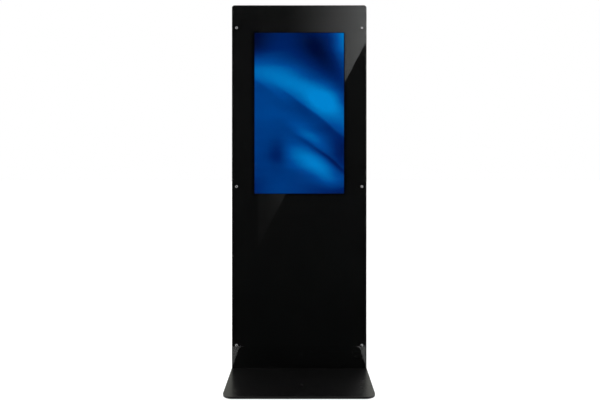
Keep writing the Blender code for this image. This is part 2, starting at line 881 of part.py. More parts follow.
def build_rocker(coat, place):
    """The rocker's section is concave on top and is stored with its upper half pressed in."""
    h = rocker_half_height
    lower = [(-rocker_root, -rocker_root_half_height), (rocker_shoulder, -h), (rocker_crest, -h)]
    section = [*lower, (rocker_hollow, 0), *[(y, -z) for y, z in reversed(lower)]]
    cosine = math.cos(rocker_tilt)
    sine = math.sin(rocker_tilt)
    tilted = [(y * cosine - z * sine, y * sine + z * cosine) for y, z in section]
    reach = rocker_pocket_width / 2 - rocker_side_clearance
    axis = place + Vector((0, -rocker_axis_depth, rocker_rise))
    make("inlet_switch", prism(tilted, "yz", -reach, reach), coat, axis)


def build_fuse_drawer(coat, place, face):
    half = (fuse_width / 2, fuse_height / 2)
    shape = box((-half[0], -fuse_depth, -half[1]), (half[0], 0, half[1]))
    drawer = make("fuse_drawer", shape, coat, place + Vector((0, face, fuse_rise)))
    wall = fuse_wall
    low = (wall - half[0], wall - fuse_depth, wall - half[1])
    cut(drawer, box(low, (half[0] - wall, -fuse_front_wall, half[1] + overshoot)))
    add(drawer, box((-half[0] / 2, -wall, half[1] / 3), (half[0] / 2, fuse_lip, half[1] - fuse_clearance)))


def build_network_socket(coat):
    half = network_bezel / 2
    face = gap + network_bezel_thickness
    socket = make(
        "network_socket",
        box((-half, gap, -half), (half, face, half)),
        coat,
        (inlet_x - network_offset, case_back, connector_z),
    )
    soften(socket, network_edge_chamfer)
    body = network_body / 2
    root = gap + network_bezel_thickness / 2
    add(socket, box((-body, gap - network_body_depth, -body), (body, root, body)))
    cut(socket, pocket(network_recess_width, network_recess_height, face - network_recess_depth, face))


# Rear door, which is carried by an empty on the hinge axis


def vent_centres():
    """Middles of the four banks of slots: two behind the fans and two over the filter."""
    return [(side * fan_spacing / 2, z) for side in (-1, 1) for z in (fan_z, lower_vent_z)]


def build_door(axis, coat, gasket_coat):
    """The door is a flat vented skin with a rim welded inside its edge and a foam seal inside the rim."""
    height = door_top - door_bottom
    outline = rounded_outline(door_half, 0, height, door_corner_radius, door_corner_radius, 3)
    door = make("rear_door", prism(outline, "xz", 0, sheet), coat, (0, door_inner, door_bottom), axis)
    ends = (-overshoot, sheet + overshoot)
    slots = []
    for x, z in vent_centres():
        for row in range(slot_rows):
            level = z - door_bottom + slot_pitch * (row - (slot_rows - 1) / 2)
            slots.append(prism(slot_outline(slot_length, slot_height, x, level), "xz", *ends))
    lock_hole = lock_barrel_radius + hole_clearance
    for level in lock_levels().values():
        slots.append(rod(lock_hole, "y", *ends, (lock_inset - opening_half, 0, level - door_bottom), 20))
    cut(door, *slots)
    rim_depth = door_depth - sheet - gap
    rim = make("door_rim", prism(outline, "xz", 0, rim_depth), coat, (0, door_front, door_bottom), axis)
    inner = (door_half - sheet, height - sheet)
    low = (-inner[0], -overshoot, sheet)
    cut(rim, box(low, (inner[0], rim_depth + overshoot, inner[1])))
    outer = door_half - sheet - gap
    rise = height - 2 * (sheet + gap)
    seal_depth = door_inner - case_back - 2 * gap
    place = (0, case_back + gap, door_bottom + sheet + gap)
    seal = make("door_gasket", box((-outer, 0, 0), (outer, seal_depth, rise)), gasket_coat, place, axis)
    reach = outer - gasket_width
    low = (-reach, -overshoot, gasket_width)
    cut(seal, box(low, (reach, seal_depth + overshoot, rise - gasket_width)))


def leaf_outline(width):
    """A hinge leaf in plan: a barrel about the origin with a plate that leaves it at a tangent, along +u."""
    radius = hinge_barrel_radius
    start = -math.asin((radius - hinge_leaf) / radius)
    arc_steps = 14
    points = [(width, -radius), (width, hinge_leaf - radius)]
    for step in range(arc_steps + 1):
        angle = start + (1.5 * math.pi - start) * step / arc_steps
        points.append((radius * math.cos(angle), radius * math.sin(angle)))
    return points


def build_hinges(axis, coat, pin_coat):
    """Each hinge has a leaf on the case with two knuckles, a leaf on the door with one, and a pin."""
    half = hinge_height / 2
    inner_half = hinge_middle_knuckle / 2
    notch = inner_half + hinge_knuckle_gap
    bore = hinge_pin_radius + hinge_running_clearance
    radius = hinge_barrel_radius
    case_plan = leaf_outline(hinge_leaf_width)
    door_plan = [(v, u) for u, v in leaf_outline(door_back - hinge_y)]
    cap = hinge_pin_cap_radius
    end = half + gap
    pin_profile = [
        (0, -end - hinge_pin_cap_height),
        (cap, -end - hinge_pin_cap_height),
        (cap, -end),
        (hinge_pin_radius, -end),
        (hinge_pin_radius, end),
        (cap, end),
        (cap, end + hinge_pin_cap_height),
        (0, end + hinge_pin_cap_height),
    ]
    for name, z in hinge_levels().items():
        place = (hinge_x, hinge_y, z)
        leaf = make(f"hinge_case_leaf_{name}", prism(case_plan, "xy", -half, half), coat, place)
        cut(leaf, rod(bore, "z", -half - overshoot, half + overshoot))
        cut(leaf, box((-radius * 2, -radius * 2, -notch), (radius + gap, radius * 2, notch)))
        strap = make(
            f"hinge_door_leaf_{name}", prism(door_plan, "xy", -inner_half, inner_half), coat, place, axis
        )
        cut(strap, rod(bore, "z", -half, half))
        make(f"hinge_pin_{name}", turned(pin_profile, "z"), pin_coat, place, smooth=True)


def cam_outline():
    """A tapered lever that hangs down: a large round end about the axis and a smaller one at its tip."""
    half = cam_width / 2
    tip_half = half * cam_taper
    points = []
    for radius, level, start in ((half, 0, 0), (tip_half, tip_half - cam_reach, math.pi)):
        for step in range(9):
            angle = start + math.pi * step / 8
            points.append((radius * math.cos(angle), level + radius * math.sin(angle)))
    return points


def build_locks(axis, coat, plug_coat, cam_coat):
    """Cam locks, stored unlocked: the cam hangs down and turns a quarter turn to reach behind the flange."""
    x = lock_inset - opening_half
    barrel_end = -lock_barrel_length
    face = gap + lock_head_height
    for name, z in lock_levels().items():
        place = (x, door_back, z)
        profile = [
            (0, barrel_end),
            (lock_barrel_radius, barrel_end),
            (lock_barrel_radius, gap),
            (lock_head_radius, gap),
            (lock_head_radius, face - lock_head_chamfer),
            (lock_head_radius - lock_head_chamfer, face),
            (0, face),
        ]
        housing = make(f"lock_housing_{name}", turned(profile, "y", segments=24), coat, place, axis, True)
        bore = lock_plug_radius + lock_plug_clearance
        cut(housing, rod(bore, "y", barrel_end - overshoot, face + overshoot, segments=20))
        turn = guide(f"lock_axis_{name}", (0, 0, 0))
        place_at(turn, place, axis)
        outer = face + lock_plug_proud
        plug = make(
            f"lock_plug_{name}",
            rod(lock_plug_radius, "y", barrel_end, outer, segments=20),
            plug_coat,
            place,
            turn,
            True,
        )
        key = (keyway_width / 2, keyway_height / 2)
        cut(plug, box((-key[0], outer - keyway_depth, -key[1]), (key[0], outer + overshoot, key[1])))
        cam_back = barrel_end - gap
        cam = prism(cam_outline(), "xz", cam_back - cam_thickness, cam_back)
        make(f"lock_cam_{name}", cam, cam_coat, place, turn)


def spider_outline():
    """The fan's motor seat: a disc with four arms that reach into the frame's ring."""
    points = []
    half = spider_arm_width / 2
    start = math.asin(half / spider_hub_radius)
    arc_steps = 4
    for arm in range(4):
        turn = math.pi / 2 * arm
        for u, v in ((spider_arm_reach, -half), (spider_arm_reach, half)):
            points.append((u * math.cos(turn) - v * math.sin(turn), u * math.sin(turn) + v * math.cos(turn)))
        for step in range(arc_steps + 1):
            angle = turn + start + (math.pi / 2 - 2 * start) * step / arc_steps
            points.append((spider_hub_radius * math.cos(angle), spider_hub_radius * math.sin(angle)))
    return points


def blade(number, middle):
    """A twisted plate: its chord grows and its pitch falls from root to tip."""
    shape = bmesh.new()
    root = rotor_hub_radius - 0.002
    stations = 4
    chord_points = 4
    rows = {}
    for side in (-1, 1):
        for i in range(stations):
            share = i / (stations - 1)
            radius = root + (rotor_tip_radius - root) * share
            chord = blade_root_chord + (blade_tip_chord - blade_root_chord) * share
            pitch = blade_root_pitch + (blade_tip_pitch - blade_root_pitch) * share
            for j in range(chord_points):
                across = chord * (j / (chord_points - 1) - 0.5)
                angle = 2 * math.pi * number / blade_count + across * math.cos(pitch) / radius
                along = middle + across * math.sin(pitch) + side * blade_thickness / 2
                place = (radius * math.cos(angle), along, radius * math.sin(angle))
                rows[side, i, j] = shape.verts.new(place)
    for i in range(stations - 1):
        for j in range(chord_points - 1):
            for side in (-1, 1):
                near = [rows[side, i, j], rows[side, i + 1, j]]
                shape.faces.new([*near, rows[side, i + 1, j + 1], rows[side, i, j + 1]])
    for j in range(chord_points - 1):
        for i in (0, stations - 1):
            shape.faces.new([rows[-1, i, j], rows[-1, i, j + 1], rows[1, i, j + 1], rows[1, i, j]])
    for i in range(stations - 1):
        for j in (0, chord_points - 1):
            shape.faces.new([rows[-1, i, j], rows[-1, i + 1, j], rows[1, i + 1, j], rows[1, i, j]])
    bmesh.ops.recalc_face_normals(shape, faces=shape.faces)
    return shape


def build_fans(axis, frame_coat, rotor_coat):
    half = fan_size / 2
    pitch = fan_screw_spacing / 2
    seat = fan_depth - spider_thickness
    for name, side in (("left", -1), ("right", 1)):
        place = (side * fan_spacing / 2, fan_front, fan_z)
        block = box((-half, 0, -half), (half, fan_depth, half))
        frame = make(f"fan_frame_{name}", block, frame_coat, place, axis)
        soften(frame, fan_edge_chamfer)
        ends = (-overshoot, fan_depth + overshoot)
        corners = [(x * pitch, 0, z * pitch) for x in (-1, 1) for z in (-1, 1)]
        cut(
            frame,
            rod(fan_bore_radius, "y", *ends, segments=32),
            *[rod(fan_screw_radius, "y", *ends, corner, 8) for corner in corners],
        )
        add(frame, prism(spider_outline(), "xz", seat, fan_depth))
        back = seat - rotor_clearance
        hub_edge = rotor_hub_chamfer
        profile = [
            (0, rotor_clearance),
            (rotor_hub_radius - hub_edge, rotor_clearance),
            (rotor_hub_radius, rotor_clearance + hub_edge),
            (rotor_hub_radius, back),
            (0, back),
        ]
        rotor = make(f"fan_rotor_{name}", turned(profile, "y", segments=21), rotor_coat, place, frame, True)
        add(rotor, *[blade(number, (rotor_clearance + back) / 2) for number in range(blade_count)])


def build_filter(axis, coat):
    half = ((fan_spacing + slot_length) / 2 + filter_margin, slot_rows * slot_pitch / 2 + filter_margin)
    place = (0, door_inner - gap - filter_thickness, lower_vent_z)
    make("air_filter", box((-half[0], 0, -half[1]), (half[0], filter_thickness, half[1])), coat, place, axis)


# Internal leads


def smooth_route(corners):
    """Points a fixed way apart on the Catmull-Rom curve through the route's own points."""
    ends = [2 * corners[0] - corners[1], *corners, 2 * corners[-1] - corners[-2]]
    points = []
    for before, start, end, after in zip(ends, ends[1:], ends[2:], ends[3:]):
        count = max(1, round((end - start).length / lead_point_spacing))
        for step in range(count):
            t = step / count
            points.append(
                0.5
                * (
                    2 * start
                    + (end - before) * t
                    + (2 * before - 5 * start + 4 * end - after) * t**2
                    + (3 * start - before - 3 * end + after) * t**3
                )
            )
    return [*points, corners[-1]]


def make_lead(name, route, radius, coat):
    curve = bpy.data.curves.new(name, "CURVE")
    curve.dimensions = "3D"
    curve.bevel_depth = radius
    curve.bevel_resolution = lead_bevel_resolution
    curve.use_fill_caps = True
    points = smooth_route(route)
    line = curve.splines.new("POLY")
    line.points.add(len(points) - 1)
    for knot, point in zip(line.points, points):
        knot.co = (*(point - route[0]), 1.0)
    curve.materials.append(coat)
    lead = bpy.data.objects.new(name, curve)
    bpy.context.collection.objects.link(lead)
    lead.location = route[0]


def build_leads(coat):
    """The mains lead rises from inlet to power supply, the display lead from the player to its board."""
    inlet_end = Vector((inlet_x, case_back - inlet_body_depth, connector_z))
    supply = supply_place()
    supply_end = supply + Vector((0, terminal_depth / 2, -supply_height / 2 - gap))
    bend = inside_front + mains_lead_radius + lead_clearance
    low = Vector((inlet_end.x, bend, inlet_end.z))
    high = Vector((supply_end.x, bend, supply_end.z))
    sway = Vector((lead_sway, 0, 0))
    mains = [
        inlet_end,
        inlet_end - Vector((0, lead_exit, 0)),
        low + Vector((0, lead_exit / 2, 0.4 * lead_sweep)),
        low + Vector((0, 0, lead_sweep)),
        low.lerp(high, 0.4) + sway,
        low.lerp(high, 0.8) + sway / 2,
        supply_end - Vector((0, 0, 2 * lead_exit)),
        supply_end,
    ]
    make_lead("mains_lead", mains, mains_lead_radius, coat)
    player = player_place()
    player_top = player_height / 2 + player_bracket_sheet + 3 * gap
    player_end = player + Vector((player_width / 6, player_body_depth / 2, player_top))
    cover_bottom = window_centre - board_height / 2 + board_cover_inset
    board_end = Vector((-board_width / 4, rib_back + board_cover_height / 2, cover_bottom - gap))
    behind = rib_back + gap + rail_depth + display_lead_radius + lead_rail_clearance
    low = Vector((player_end.x, behind, player_end.z))
    high = Vector((board_end.x, behind, board_end.z))
    ease = Vector((0, -lead_exit / 2, 0))
    display = [
        player_end,
        player_end + Vector((0, 0, lead_exit)),
        low + ease + Vector((0, 0, 1.4 * lead_sweep)),
        low.lerp(high, 0.3),
        low.lerp(high, 0.6) - sway,
        high + ease - Vector((0, 0, 2 * lead_sweep)),
        board_end - Vector((0, 0, 1.5 * lead_exit)),
        board_end,
    ]
    make_lead("display_lead", display, display_lead_radius, coat)


def build_kiosk():
    satin_black = finish("satin_black", (0.012, 0.012, 0.013), 0.35)
    rubber = finish("black_rubber", (0.02, 0.02, 0.02), 0.85)
    zinc = finish("zinc_steel", (0.62, 0.63, 0.65), 0.38, 1.0)
    stainless = finish("stainless_steel", (0.70, 0.70, 0.71), 0.22, 1.0)
    glass = finish("clear_glass", (0.05, 0.06, 0.07), 0.03)
    ink = finish("black_ink", (0.004, 0.004, 0.005), 0.25)
    screen = finish("lit_screen", (0.01, 0.12, 0.35), 0.20)
    film = finish("touch_film", (0.10, 0.12, 0.14), 0.10)
    board = finish("green_board", (0.03, 0.16, 0.07), 0.45)
    aluminium = finish("black_aluminium", (0.03, 0.03, 0.035), 0.40, 0.6)
    plastic = finish("black_plastic", (0.015, 0.015, 0.016), 0.50)
    foam = finish("black_foam", (0.03, 0.03, 0.03), 0.95)
    chrome = finish("chrome", (0.80, 0.80, 0.82), 0.12, 1.0)

    build_base_plate(satin_black)
    build_foot_pads(rubber)
    build_base_bracket(zinc)
    build_base_bolts(zinc)
    build_case(satin_black)
    build_glass(glass)
    build_mask(ink)
    build_glass_screws(stainless)
    build_touch(film, board)
    build_display(zinc, screen, zinc)
    build_display_rails(zinc)
    build_display_board(board)
    build_player(aluminium, zinc, stainless)
    build_supply(zinc)
    build_inlet(plastic, plastic, plastic)
    build_network_socket(plastic)
    door_axis = guide("rear_door_axis", (hinge_x, hinge_y, door_bottom))
    build_door(door_axis, satin_black, foam)
    build_hinges(door_axis, zinc, stainless)
    build_locks(door_axis, chrome, chrome, zinc)
    build_fans(door_axis, plastic, plastic)
    build_filter(door_axis, foam)
    build_leads(plastic)


clear_scene()
build_kiosk()
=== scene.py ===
import json
import math

import bmesh
import bpy
import numpy as np
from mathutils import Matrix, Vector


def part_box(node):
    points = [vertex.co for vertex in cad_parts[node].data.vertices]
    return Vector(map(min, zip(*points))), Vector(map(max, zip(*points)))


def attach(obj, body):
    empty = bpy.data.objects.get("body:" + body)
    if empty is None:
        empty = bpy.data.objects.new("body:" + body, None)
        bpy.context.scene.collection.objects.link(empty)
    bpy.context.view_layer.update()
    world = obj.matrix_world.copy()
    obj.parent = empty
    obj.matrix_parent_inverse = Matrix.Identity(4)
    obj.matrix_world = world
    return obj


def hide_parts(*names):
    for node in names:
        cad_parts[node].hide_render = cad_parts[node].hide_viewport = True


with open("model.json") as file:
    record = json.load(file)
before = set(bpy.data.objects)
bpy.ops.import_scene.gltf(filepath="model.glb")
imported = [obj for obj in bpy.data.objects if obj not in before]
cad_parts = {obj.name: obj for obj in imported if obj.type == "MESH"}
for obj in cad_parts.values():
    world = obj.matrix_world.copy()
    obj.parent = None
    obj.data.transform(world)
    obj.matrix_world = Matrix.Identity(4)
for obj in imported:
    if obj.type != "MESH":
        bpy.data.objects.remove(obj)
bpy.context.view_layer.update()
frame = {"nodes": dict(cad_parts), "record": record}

nodes = frame["nodes"]
print("frame loaded,", len(nodes), "nodes")


# Shader maths: a Wire is one output socket, and sums on wires add Math nodes

class Wire:
    def __init__(self, tree, socket):
        self.tree = tree
        self.socket = socket

    # adds a node: its type, its settings, then its sockets; a ramp's stops are (place, colour) pairs
    def node(self, kind, settings, sockets, output=0):
        made = self.tree.nodes.new("ShaderNode" + kind)
        for name, value in settings.items():
            if name == "stops":
                steps = made.color_ramp.elements
                while len(steps) < len(value):
                    steps.new(1.0)
                for step, (place, colour) in zip(steps, value):
                    step.position = place
                    step.color = colour if len(colour) == 4 else (*colour, 1.0)
            else:
                setattr(made, name, value)
        for key, value in sockets.items():
            if isinstance(value, Wire):
                self.tree.links.new(value.socket, made.inputs[key])
            else:
                made.inputs[key].default_value = value
        return Wire(self.tree, made.outputs[output]) if output is not None else None

    def maths(self, operation, *others):
        return self.node("Math", {"operation": operation}, dict(enumerate((self, *others))))

    def __add__(self, other):
        return self.maths("ADD", other)

    def __sub__(self, other):
        return self.maths("SUBTRACT", other)

    def __rsub__(self, other):
        return self.node("Math", {"operation": "SUBTRACT"}, {0: other, 1: self})

    def __mul__(self, other):
        return self.maths("MULTIPLY", other)

    def __truediv__(self, other):
        return self.maths("DIVIDE", other)

    __radd__ = __add__
    __rmul__ = __mul__

    def axis(self, name):
        return self.node("SeparateXYZ", {}, {0: self}, "XYZ".index(name))

    # a point stretched and then turned about the Y axis, so a pattern on it runs in streaks
    def stretched(self, factors, turn=0.0):
        return self.node("Mapping", {}, {0: self, 2: (0, turn, 0), 3: factors})

    def noise(self, scale, detail=2.0, rough=0.5, warp=0.0):
        sockets = {"Vector": self, "Scale": scale, "Detail": detail, "Roughness": rough, "Distortion": warp}
        return self.node("TexNoise", {}, sockets)

    def cells(self, scale, feature="F1", output=0):
        return self.node("TexVoronoi", {"feature": feature}, {"Vector": self, "Scale": scale}, output)

    # 0 below low, 1 above high, straight or smooth between
    def rise(self, low, high, kind="LINEAR"):
        sockets = {0: self, 1: low, 2: high, 3: 0.0, 4: 1.0}
        return self.node("MapRange", {"interpolation_type": kind}, sockets)

    def ramp(self, *stops):
        return self.node("ValToRGB", {"stops": stops}, {0: self})

    # the colour at share 0 is first, at share 1 second
    def blend(self, first, second):
        colours = {0: self, 6: full(first), 7: full(second)}
        return self.node("Mix", {"data_type": "RGBA"}, colours, 2)


# a colour with its alpha of 1; a wire stays as it is
def full(colour):
    return colour if isinstance(colour, Wire) else (*colour, 1.0)


# one material: recipe(place) gives what varies, by socket name; fixed holds the sockets that don't vary
def makeMaterial(name, recipe, fixed):
    material = bpy.data.materials.new(name)
    material.use_nodes = True
    tree = material.node_tree
    shader = tree.nodes["Principled BSDF"]
    for key, value in fixed.items():
        shader.inputs[key].default_value = value
    place = Wire(tree, tree.nodes.new("ShaderNodeTexCoord").outputs["Object"])
    made = recipe(place)
    relief, depth = made.pop("Relief", (None, 0))
    if relief is not None:
        made["Normal"] = place.node("Bump", {}, {"Strength": 1.0, "Distance": depth, "Height": relief})
    for key, wire in made.items():
        tree.links.new(wire.socket, shader.inputs[key])
    return material


# Shapes are pairs of points and faces; a face list may hold quads and many-sided end faces

planes = {"x": (1, 2, 0), "y": (0, 2, 1), "z": (0, 1, 2)}


# flat points (..., 2) and their distances along an axis, moved to a centre
def lay(flat, along, axis, centre):
    points = np.empty((*flat.shape[:-1], 3))
    first, second, across = planes[axis]
    points[..., first] = flat[..., 0]
    points[..., second] = flat[..., 1]
    points[..., across] = along
    return points + np.asarray(centre)


# a stack of rings (levels, count, 3): quads join each ring to the next, and one face closes each end
def stack(rings):
    levels, count = rings.shape[:2]
    index = np.arange(levels * count).reshape(levels, count)
    after = np.roll(index, -1, axis=1)
    quads = np.stack([index[:-1], after[:-1], after[1:], index[1:]], axis=-1).reshape(-1, 4)
    return rings.reshape(-1, 3), [*quads.tolist(), index[0].tolist(), index[-1].tolist()]


# a stack of rings whose last ring joins its first, so both ways go round
def loop(rings):
    levels, count = rings.shape[:2]
    index = np.arange(levels * count).reshape(levels, count)
    after = np.roll(index, -1, axis=1)
    above = np.roll(index, -1, axis=0)
    quads = np.stack([index, after, np.roll(above, -1, axis=1), above], axis=-1).reshape(-1, 4)
    return rings.reshape(-1, 3), quads.tolist()


# (cos, sin) of even angles, a circle of radius 1
def circle(count):
    angle = np.arange(count) * 2 * math.pi / count
    return np.stack([np.cos(angle), np.sin(angle)], axis=-1)


# a rectangle's four corners, each an arc of the radius
def roundRect(halfWidth, halfHeight, radius, steps=4):
    angle = np.linspace(0, math.pi / 2, steps + 1) + np.arange(4)[:, None] * math.pi / 2
    signs = np.array([(1, 1), (-1, 1), (-1, -1), (1, -1)])
    middle = signs * (halfWidth - radius, halfHeight - radius)
    return (middle[:, None] + radius * np.stack([np.cos(angle), np.sin(angle)], axis=-1)).reshape(-1, 2)


# (radius, distance) pairs turned once round an axis through the centre
def turned(profile, axis, centre, count=32):
    profile = np.asarray(profile, float)
    flat = profile[:, 0][:, None, None] * circle(count)
    return stack(lay(flat, profile[:, 1][:, None], axis, centre))


# a block between two corners: round-cornered across the axis, chamfered at both of its ends
def block(low, high, axis="y", radius=0.001, chamfer=0.0004, steps=3):
    low, high = np.asarray(low, float), np.asarray(high, float)
    first, second, across = planes[axis]
    half = (high - low) / 2
    length = half[across] * 2
    radius = min(radius, half[first] * 0.99, half[second] * 0.99)
    chamfer = min(chamfer, length * 0.4, half[first] * 0.4, half[second] * 0.4)
    inner = max(radius - chamfer, radius * 0.2)
    small = roundRect(half[first] - chamfer, half[second] - chamfer, inner, steps)
    large = roundRect(half[first], half[second], radius, steps)
    along = np.array([0, chamfer, length - chamfer, length]) - length / 2
    return stack(lay(np.stack([small, large, large, small]), along[:, None], axis, (low + high) / 2))


# a round tube along a path whose run is never parallel to the reference
def tube(path, radius, count=12, reference=(0, 1, 0), closed=False):
    path = np.asarray(path, float)
    ahead = np.roll(path, -1, axis=0) - np.roll(path, 1, axis=0) if closed else np.gradient(path, axis=0)
    side = np.cross(ahead, reference)
    side /= np.linalg.norm(side, axis=1)[:, None]
    lift = np.cross(side, ahead)
    lift /= np.linalg.norm(lift, axis=1)[:, None]
    around = circle(count) * radius
    rings = path[:, None] + around[:, :1] * side[:, None] + around[:, 1:] * lift[:, None]
    return loop(rings) if closed else stack(rings)


# a smooth curve through a route's own points: each stretch is the Catmull-Rom cubic of its four neighbours
def smoothRoute(route, steps=8):
    route = np.asarray(route, float)
    padded = np.concatenate([[2 * route[0] - route[1]], route, [2 * route[-1] - route[-2]]])
    before, start, end, after = (padded[shift:len(route) - 1 + shift, None] for shift in range(4))
    t = (np.arange(steps) / steps)[None, :, None]
    square = (2 * before - 5 * start + 4 * end - after) * t**2
    cubic = (3 * (start - end) + after - before) * t**3
    points = 0.5 * (2 * start + (end - before) * t + square + cubic)
    return np.concatenate([points.reshape(-1, 3), route[-1:]])


# the same shape at several places
def copies(shape, places):
    points, faces = shape
    places = np.asarray(places, float)
    starts = (np.arange(len(places)) * len(points)).tolist()
    moved = (points[None] + places[:, None]).reshape(-1, 3)
    return moved, [[corner + start for corner in face] for start in starts for face in faces]


# several shapes as one: each one's faces count on from the points before it
def joined(*shapes):
    starts = np.cumsum([0] + [len(points) for points, _ in shapes]).tolist()
    faces = [[corner + start for corner in face] for (_, own), start in zip(shapes, starts) for face in own]
    return np.concatenate([points for points, _ in shapes]), faces


# places in a row along X, a pitch apart and centred on 0
def spaced(count, pitch):
    return [((number - (count - 1) / 2) * pitch, 0, 0) for number in range(count)]


hair = 0.0001  # the air left between pieces that touch
crispEdge = math.radians(35)  # edges that turn by more than this aren't smoothed


# a piece with its slot's finish, or a skin of its own; it rides a body and may hide the nodes it replaces
def makePiece(name, shape, slot, body="kiosk", hides=(), skin=None):
    points, faces = shape
    mesh = bpy.data.meshes.new(name)
    mesh.from_pydata(points.tolist(), [], faces)
    loose = bmesh.new()
    loose.from_mesh(mesh)
    bmesh.ops.recalc_face_normals(loose, faces=loose.faces)
    loose.to_mesh(mesh)
    loose.free()
    mesh.shade_smooth()
    mesh.set_sharp_from_angle(angle=crispEdge)
    mesh.materials.append(skin or coatOf[slot])
    piece = bpy.data.objects.new(name, mesh)
    bpy.context.collection.objects.link(piece)
    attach(piece, body)
    if hides:
        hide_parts(*hides)


# a node's low and high corners
def boxOf(node):
    return np.array(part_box(node))


def middleOf(node):
    return boxOf(node).mean(axis=0)


# a dictionary's values in the order named
def pick(values, names):
    return [values[name] for name in names.split()]


# Finishes

coats = {
    "powder": {"colour": (0.0042, 0.0042, 0.0043), "tint": (0.011, 0.011, 0.0105), "rough": (0.22, 0.30)},
    "zinc": {"colour": (0.52, 0.54, 0.56), "tint": (0.62, 0.61, 0.56), "rough": (0.26, 0.44)},
    "stainless": {"colour": (0.60, 0.60, 0.60), "tint": (0.74, 0.74, 0.75), "rough": (0.14, 0.26)},
    "chrome": {"colour": (0.72, 0.73, 0.74), "tint": (0.82, 0.82, 0.83), "rough": (0.05, 0.14)},
    "plastic": {"colour": (0.011, 0.011, 0.012), "tint": (0.022, 0.022, 0.023), "rough": (0.38, 0.55)},
    "rubber": {"colour": (0.013, 0.013, 0.013), "tint": (0.026, 0.025, 0.024), "rough": (0.70, 0.88)},
}


# a share from 0 to 1 turned into a value between two ends
def between(share, ends):
    return share * (ends[1] - ends[0]) + ends[0]


# a coat's two colours blended by a share
def tinted(share, values):
    return share.blend(values["colour"], values["tint"])


# powder coat: orange peel 1 mm across, broad changes in gloss, and a little dust
def satinBlack(place):
    values = coats["powder"]
    peel = place.noise(1100, 2, 0.55)
    broad = place.noise(5, 3, 0.6)
    dust = place.noise(420, 4, 0.7).rise(0.62, 0.78) * place.noise(9, 2).rise(0.4, 0.7)
    return {
        "Base Color": tinted(dust * 0.5, values),
        "Roughness": between(broad, values["rough"]) + dust * 0.10,
        "Relief": (peel + place.noise(260, 1) * 0.5, 0.00003),
    }


# zinc plate: crystal patches a few millimetres across under fine rolling lines
def zincPlate(place):
    values = coats["zinc"]
    patch = place.cells(150, output=1).axis("X")
    lines = place.stretched((1, 1, 40)).noise(60, 3)
    return {
        "Base Color": tinted(patch, values),
        "Roughness": between(lines * 0.6 + patch * 0.4, values["rough"]),
        "Relief": (lines * 0.5 + patch * 0.2, 0.00002),
    }


# turned or rolled bright metal: fine lines with faint smears
def brightMetal(values, scale):
    def recipe(place):
        lines = place.stretched((1, 14, 1)).noise(scale, 3)
        smear = place.noise(40, 3, 0.6)
        return {
            "Base Color": tinted(smear, values),
            "Roughness": between(lines, values["rough"]) + smear * 0.05,
            "Relief": (lines, 0.000008),
        }
    return recipe


# moulded plastic: spark-eroded grain 0.3 mm across; its colour is broad random tone plus painted shade that
# darkens the middle of each grain pit
def mouldedPlastic(place):
    values = coats["plastic"]
    grain = place.cells(3200)
    broad = place.noise(25, 3)
    return {
        # partly random tone, partly painted shade in the grain's pits
        "Base Color": tinted(broad * 0.6 + grain * 0.3, values),
        "Roughness": between(broad, values["rough"]),
        "Relief": (grain, 0.00003),
    }


# moulded rubber: dull, with a fine bloom
def rubberSkin(place):
    values = coats["rubber"]
    broad = place.noise(60, 4, 0.6)
    return {
        "Base Color": tinted(broad, values),
        "Roughness": between(place.noise(900, 2), values["rough"]),
        "Relief": (place.noise(1400, 2) + broad * 0.4, 0.00004),
    }


# closed-cell foam: small pits, each painted darker towards its middle as painted shade
def foamSkin(place):
    pits = place.cells(1500)
    return {
        # painted shade: the middle of each pit is darker than its rim
        "Base Color": pits.blend((0.008, 0.008, 0.008), (0.035, 0.035, 0.036)),
        "Roughness": place.noise(300) * 0.1 + 0.85,
        "Relief": (pits, 0.00025),
    }


# open filter mat: strands between open cells about 1.5 mm across; the open cells are painted near-black as
# painted shade of the depth behind the strands
def filterMat(place):
    openCellsAndShade = place.cells(700, "DISTANCE_TO_EDGE").rise(0.0, 0.35)
    fuzz = place.noise(2600, 3)
    return {
        # painted shade: the open cells near black, the strands a lighter grey
        "Base Color": openCellsAndShade.blend((0.075, 0.075, 0.08), (0.006, 0.006, 0.006)),
        "Roughness": fuzz * 0.1 + 0.85,
        "Relief": (fuzz * 0.3 - openCellsAndShade, 0.0006),
    }


# stripes across a run, so many to a metre: each is 0 up to a share of its width and 1 beyond another
def stripes(run, perMetre, low, high):
    return (run * perMetre).maths("FRACT").rise(low, high)


# solder mask over copper: tracks on a 1.3 mm pitch, with open ground patches and plated dots
def circuitBoard(place):
    weave = place.noise(55, 1, 0.2, 0.3)
    track = stripes(place.axis("X") + weave * 0.010, 770, 0.34, 0.42)
    climb = stripes(place.axis("Z") + weave * 0.014, 770, 0.34, 0.42)
    mix = place.noise(42, 0).rise(0.48, 0.50)
    copper = track * mix + climb * (1 - mix)
    dots = 1 - place.cells(380).rise(0.16, 0.20)
    under = copper.blend((0.008, 0.055, 0.022), (0.018, 0.12, 0.045))
    return {
        "Base Color": dots.blend(under, (0.75, 0.56, 0.22)),
        "Metallic": dots * 0.9,
        "Roughness": 0.42 - dots * 0.14 + place.noise(30) * 0.08,
        "Relief": (copper * 0.4 + dots * 0.4, 0.00004),
    }


# black anodised aluminium: a fine even grain with faint extrusion lines
def anodised(place):
    grain = place.noise(4200, 2)
    lines = place.stretched((30, 30, 1)).noise(22, 2)
    return {
        "Base Color": (lines * 0.7).blend((0.022, 0.022, 0.024), (0.045, 0.045, 0.048)),
        "Roughness": grain * 0.10 + lines * 0.08 + 0.30,
        "Relief": (grain, 0.00001),
    }


supplyVents = {"pitch": 0.005, "hole": (0.27, 0.31), "row": 0.5}
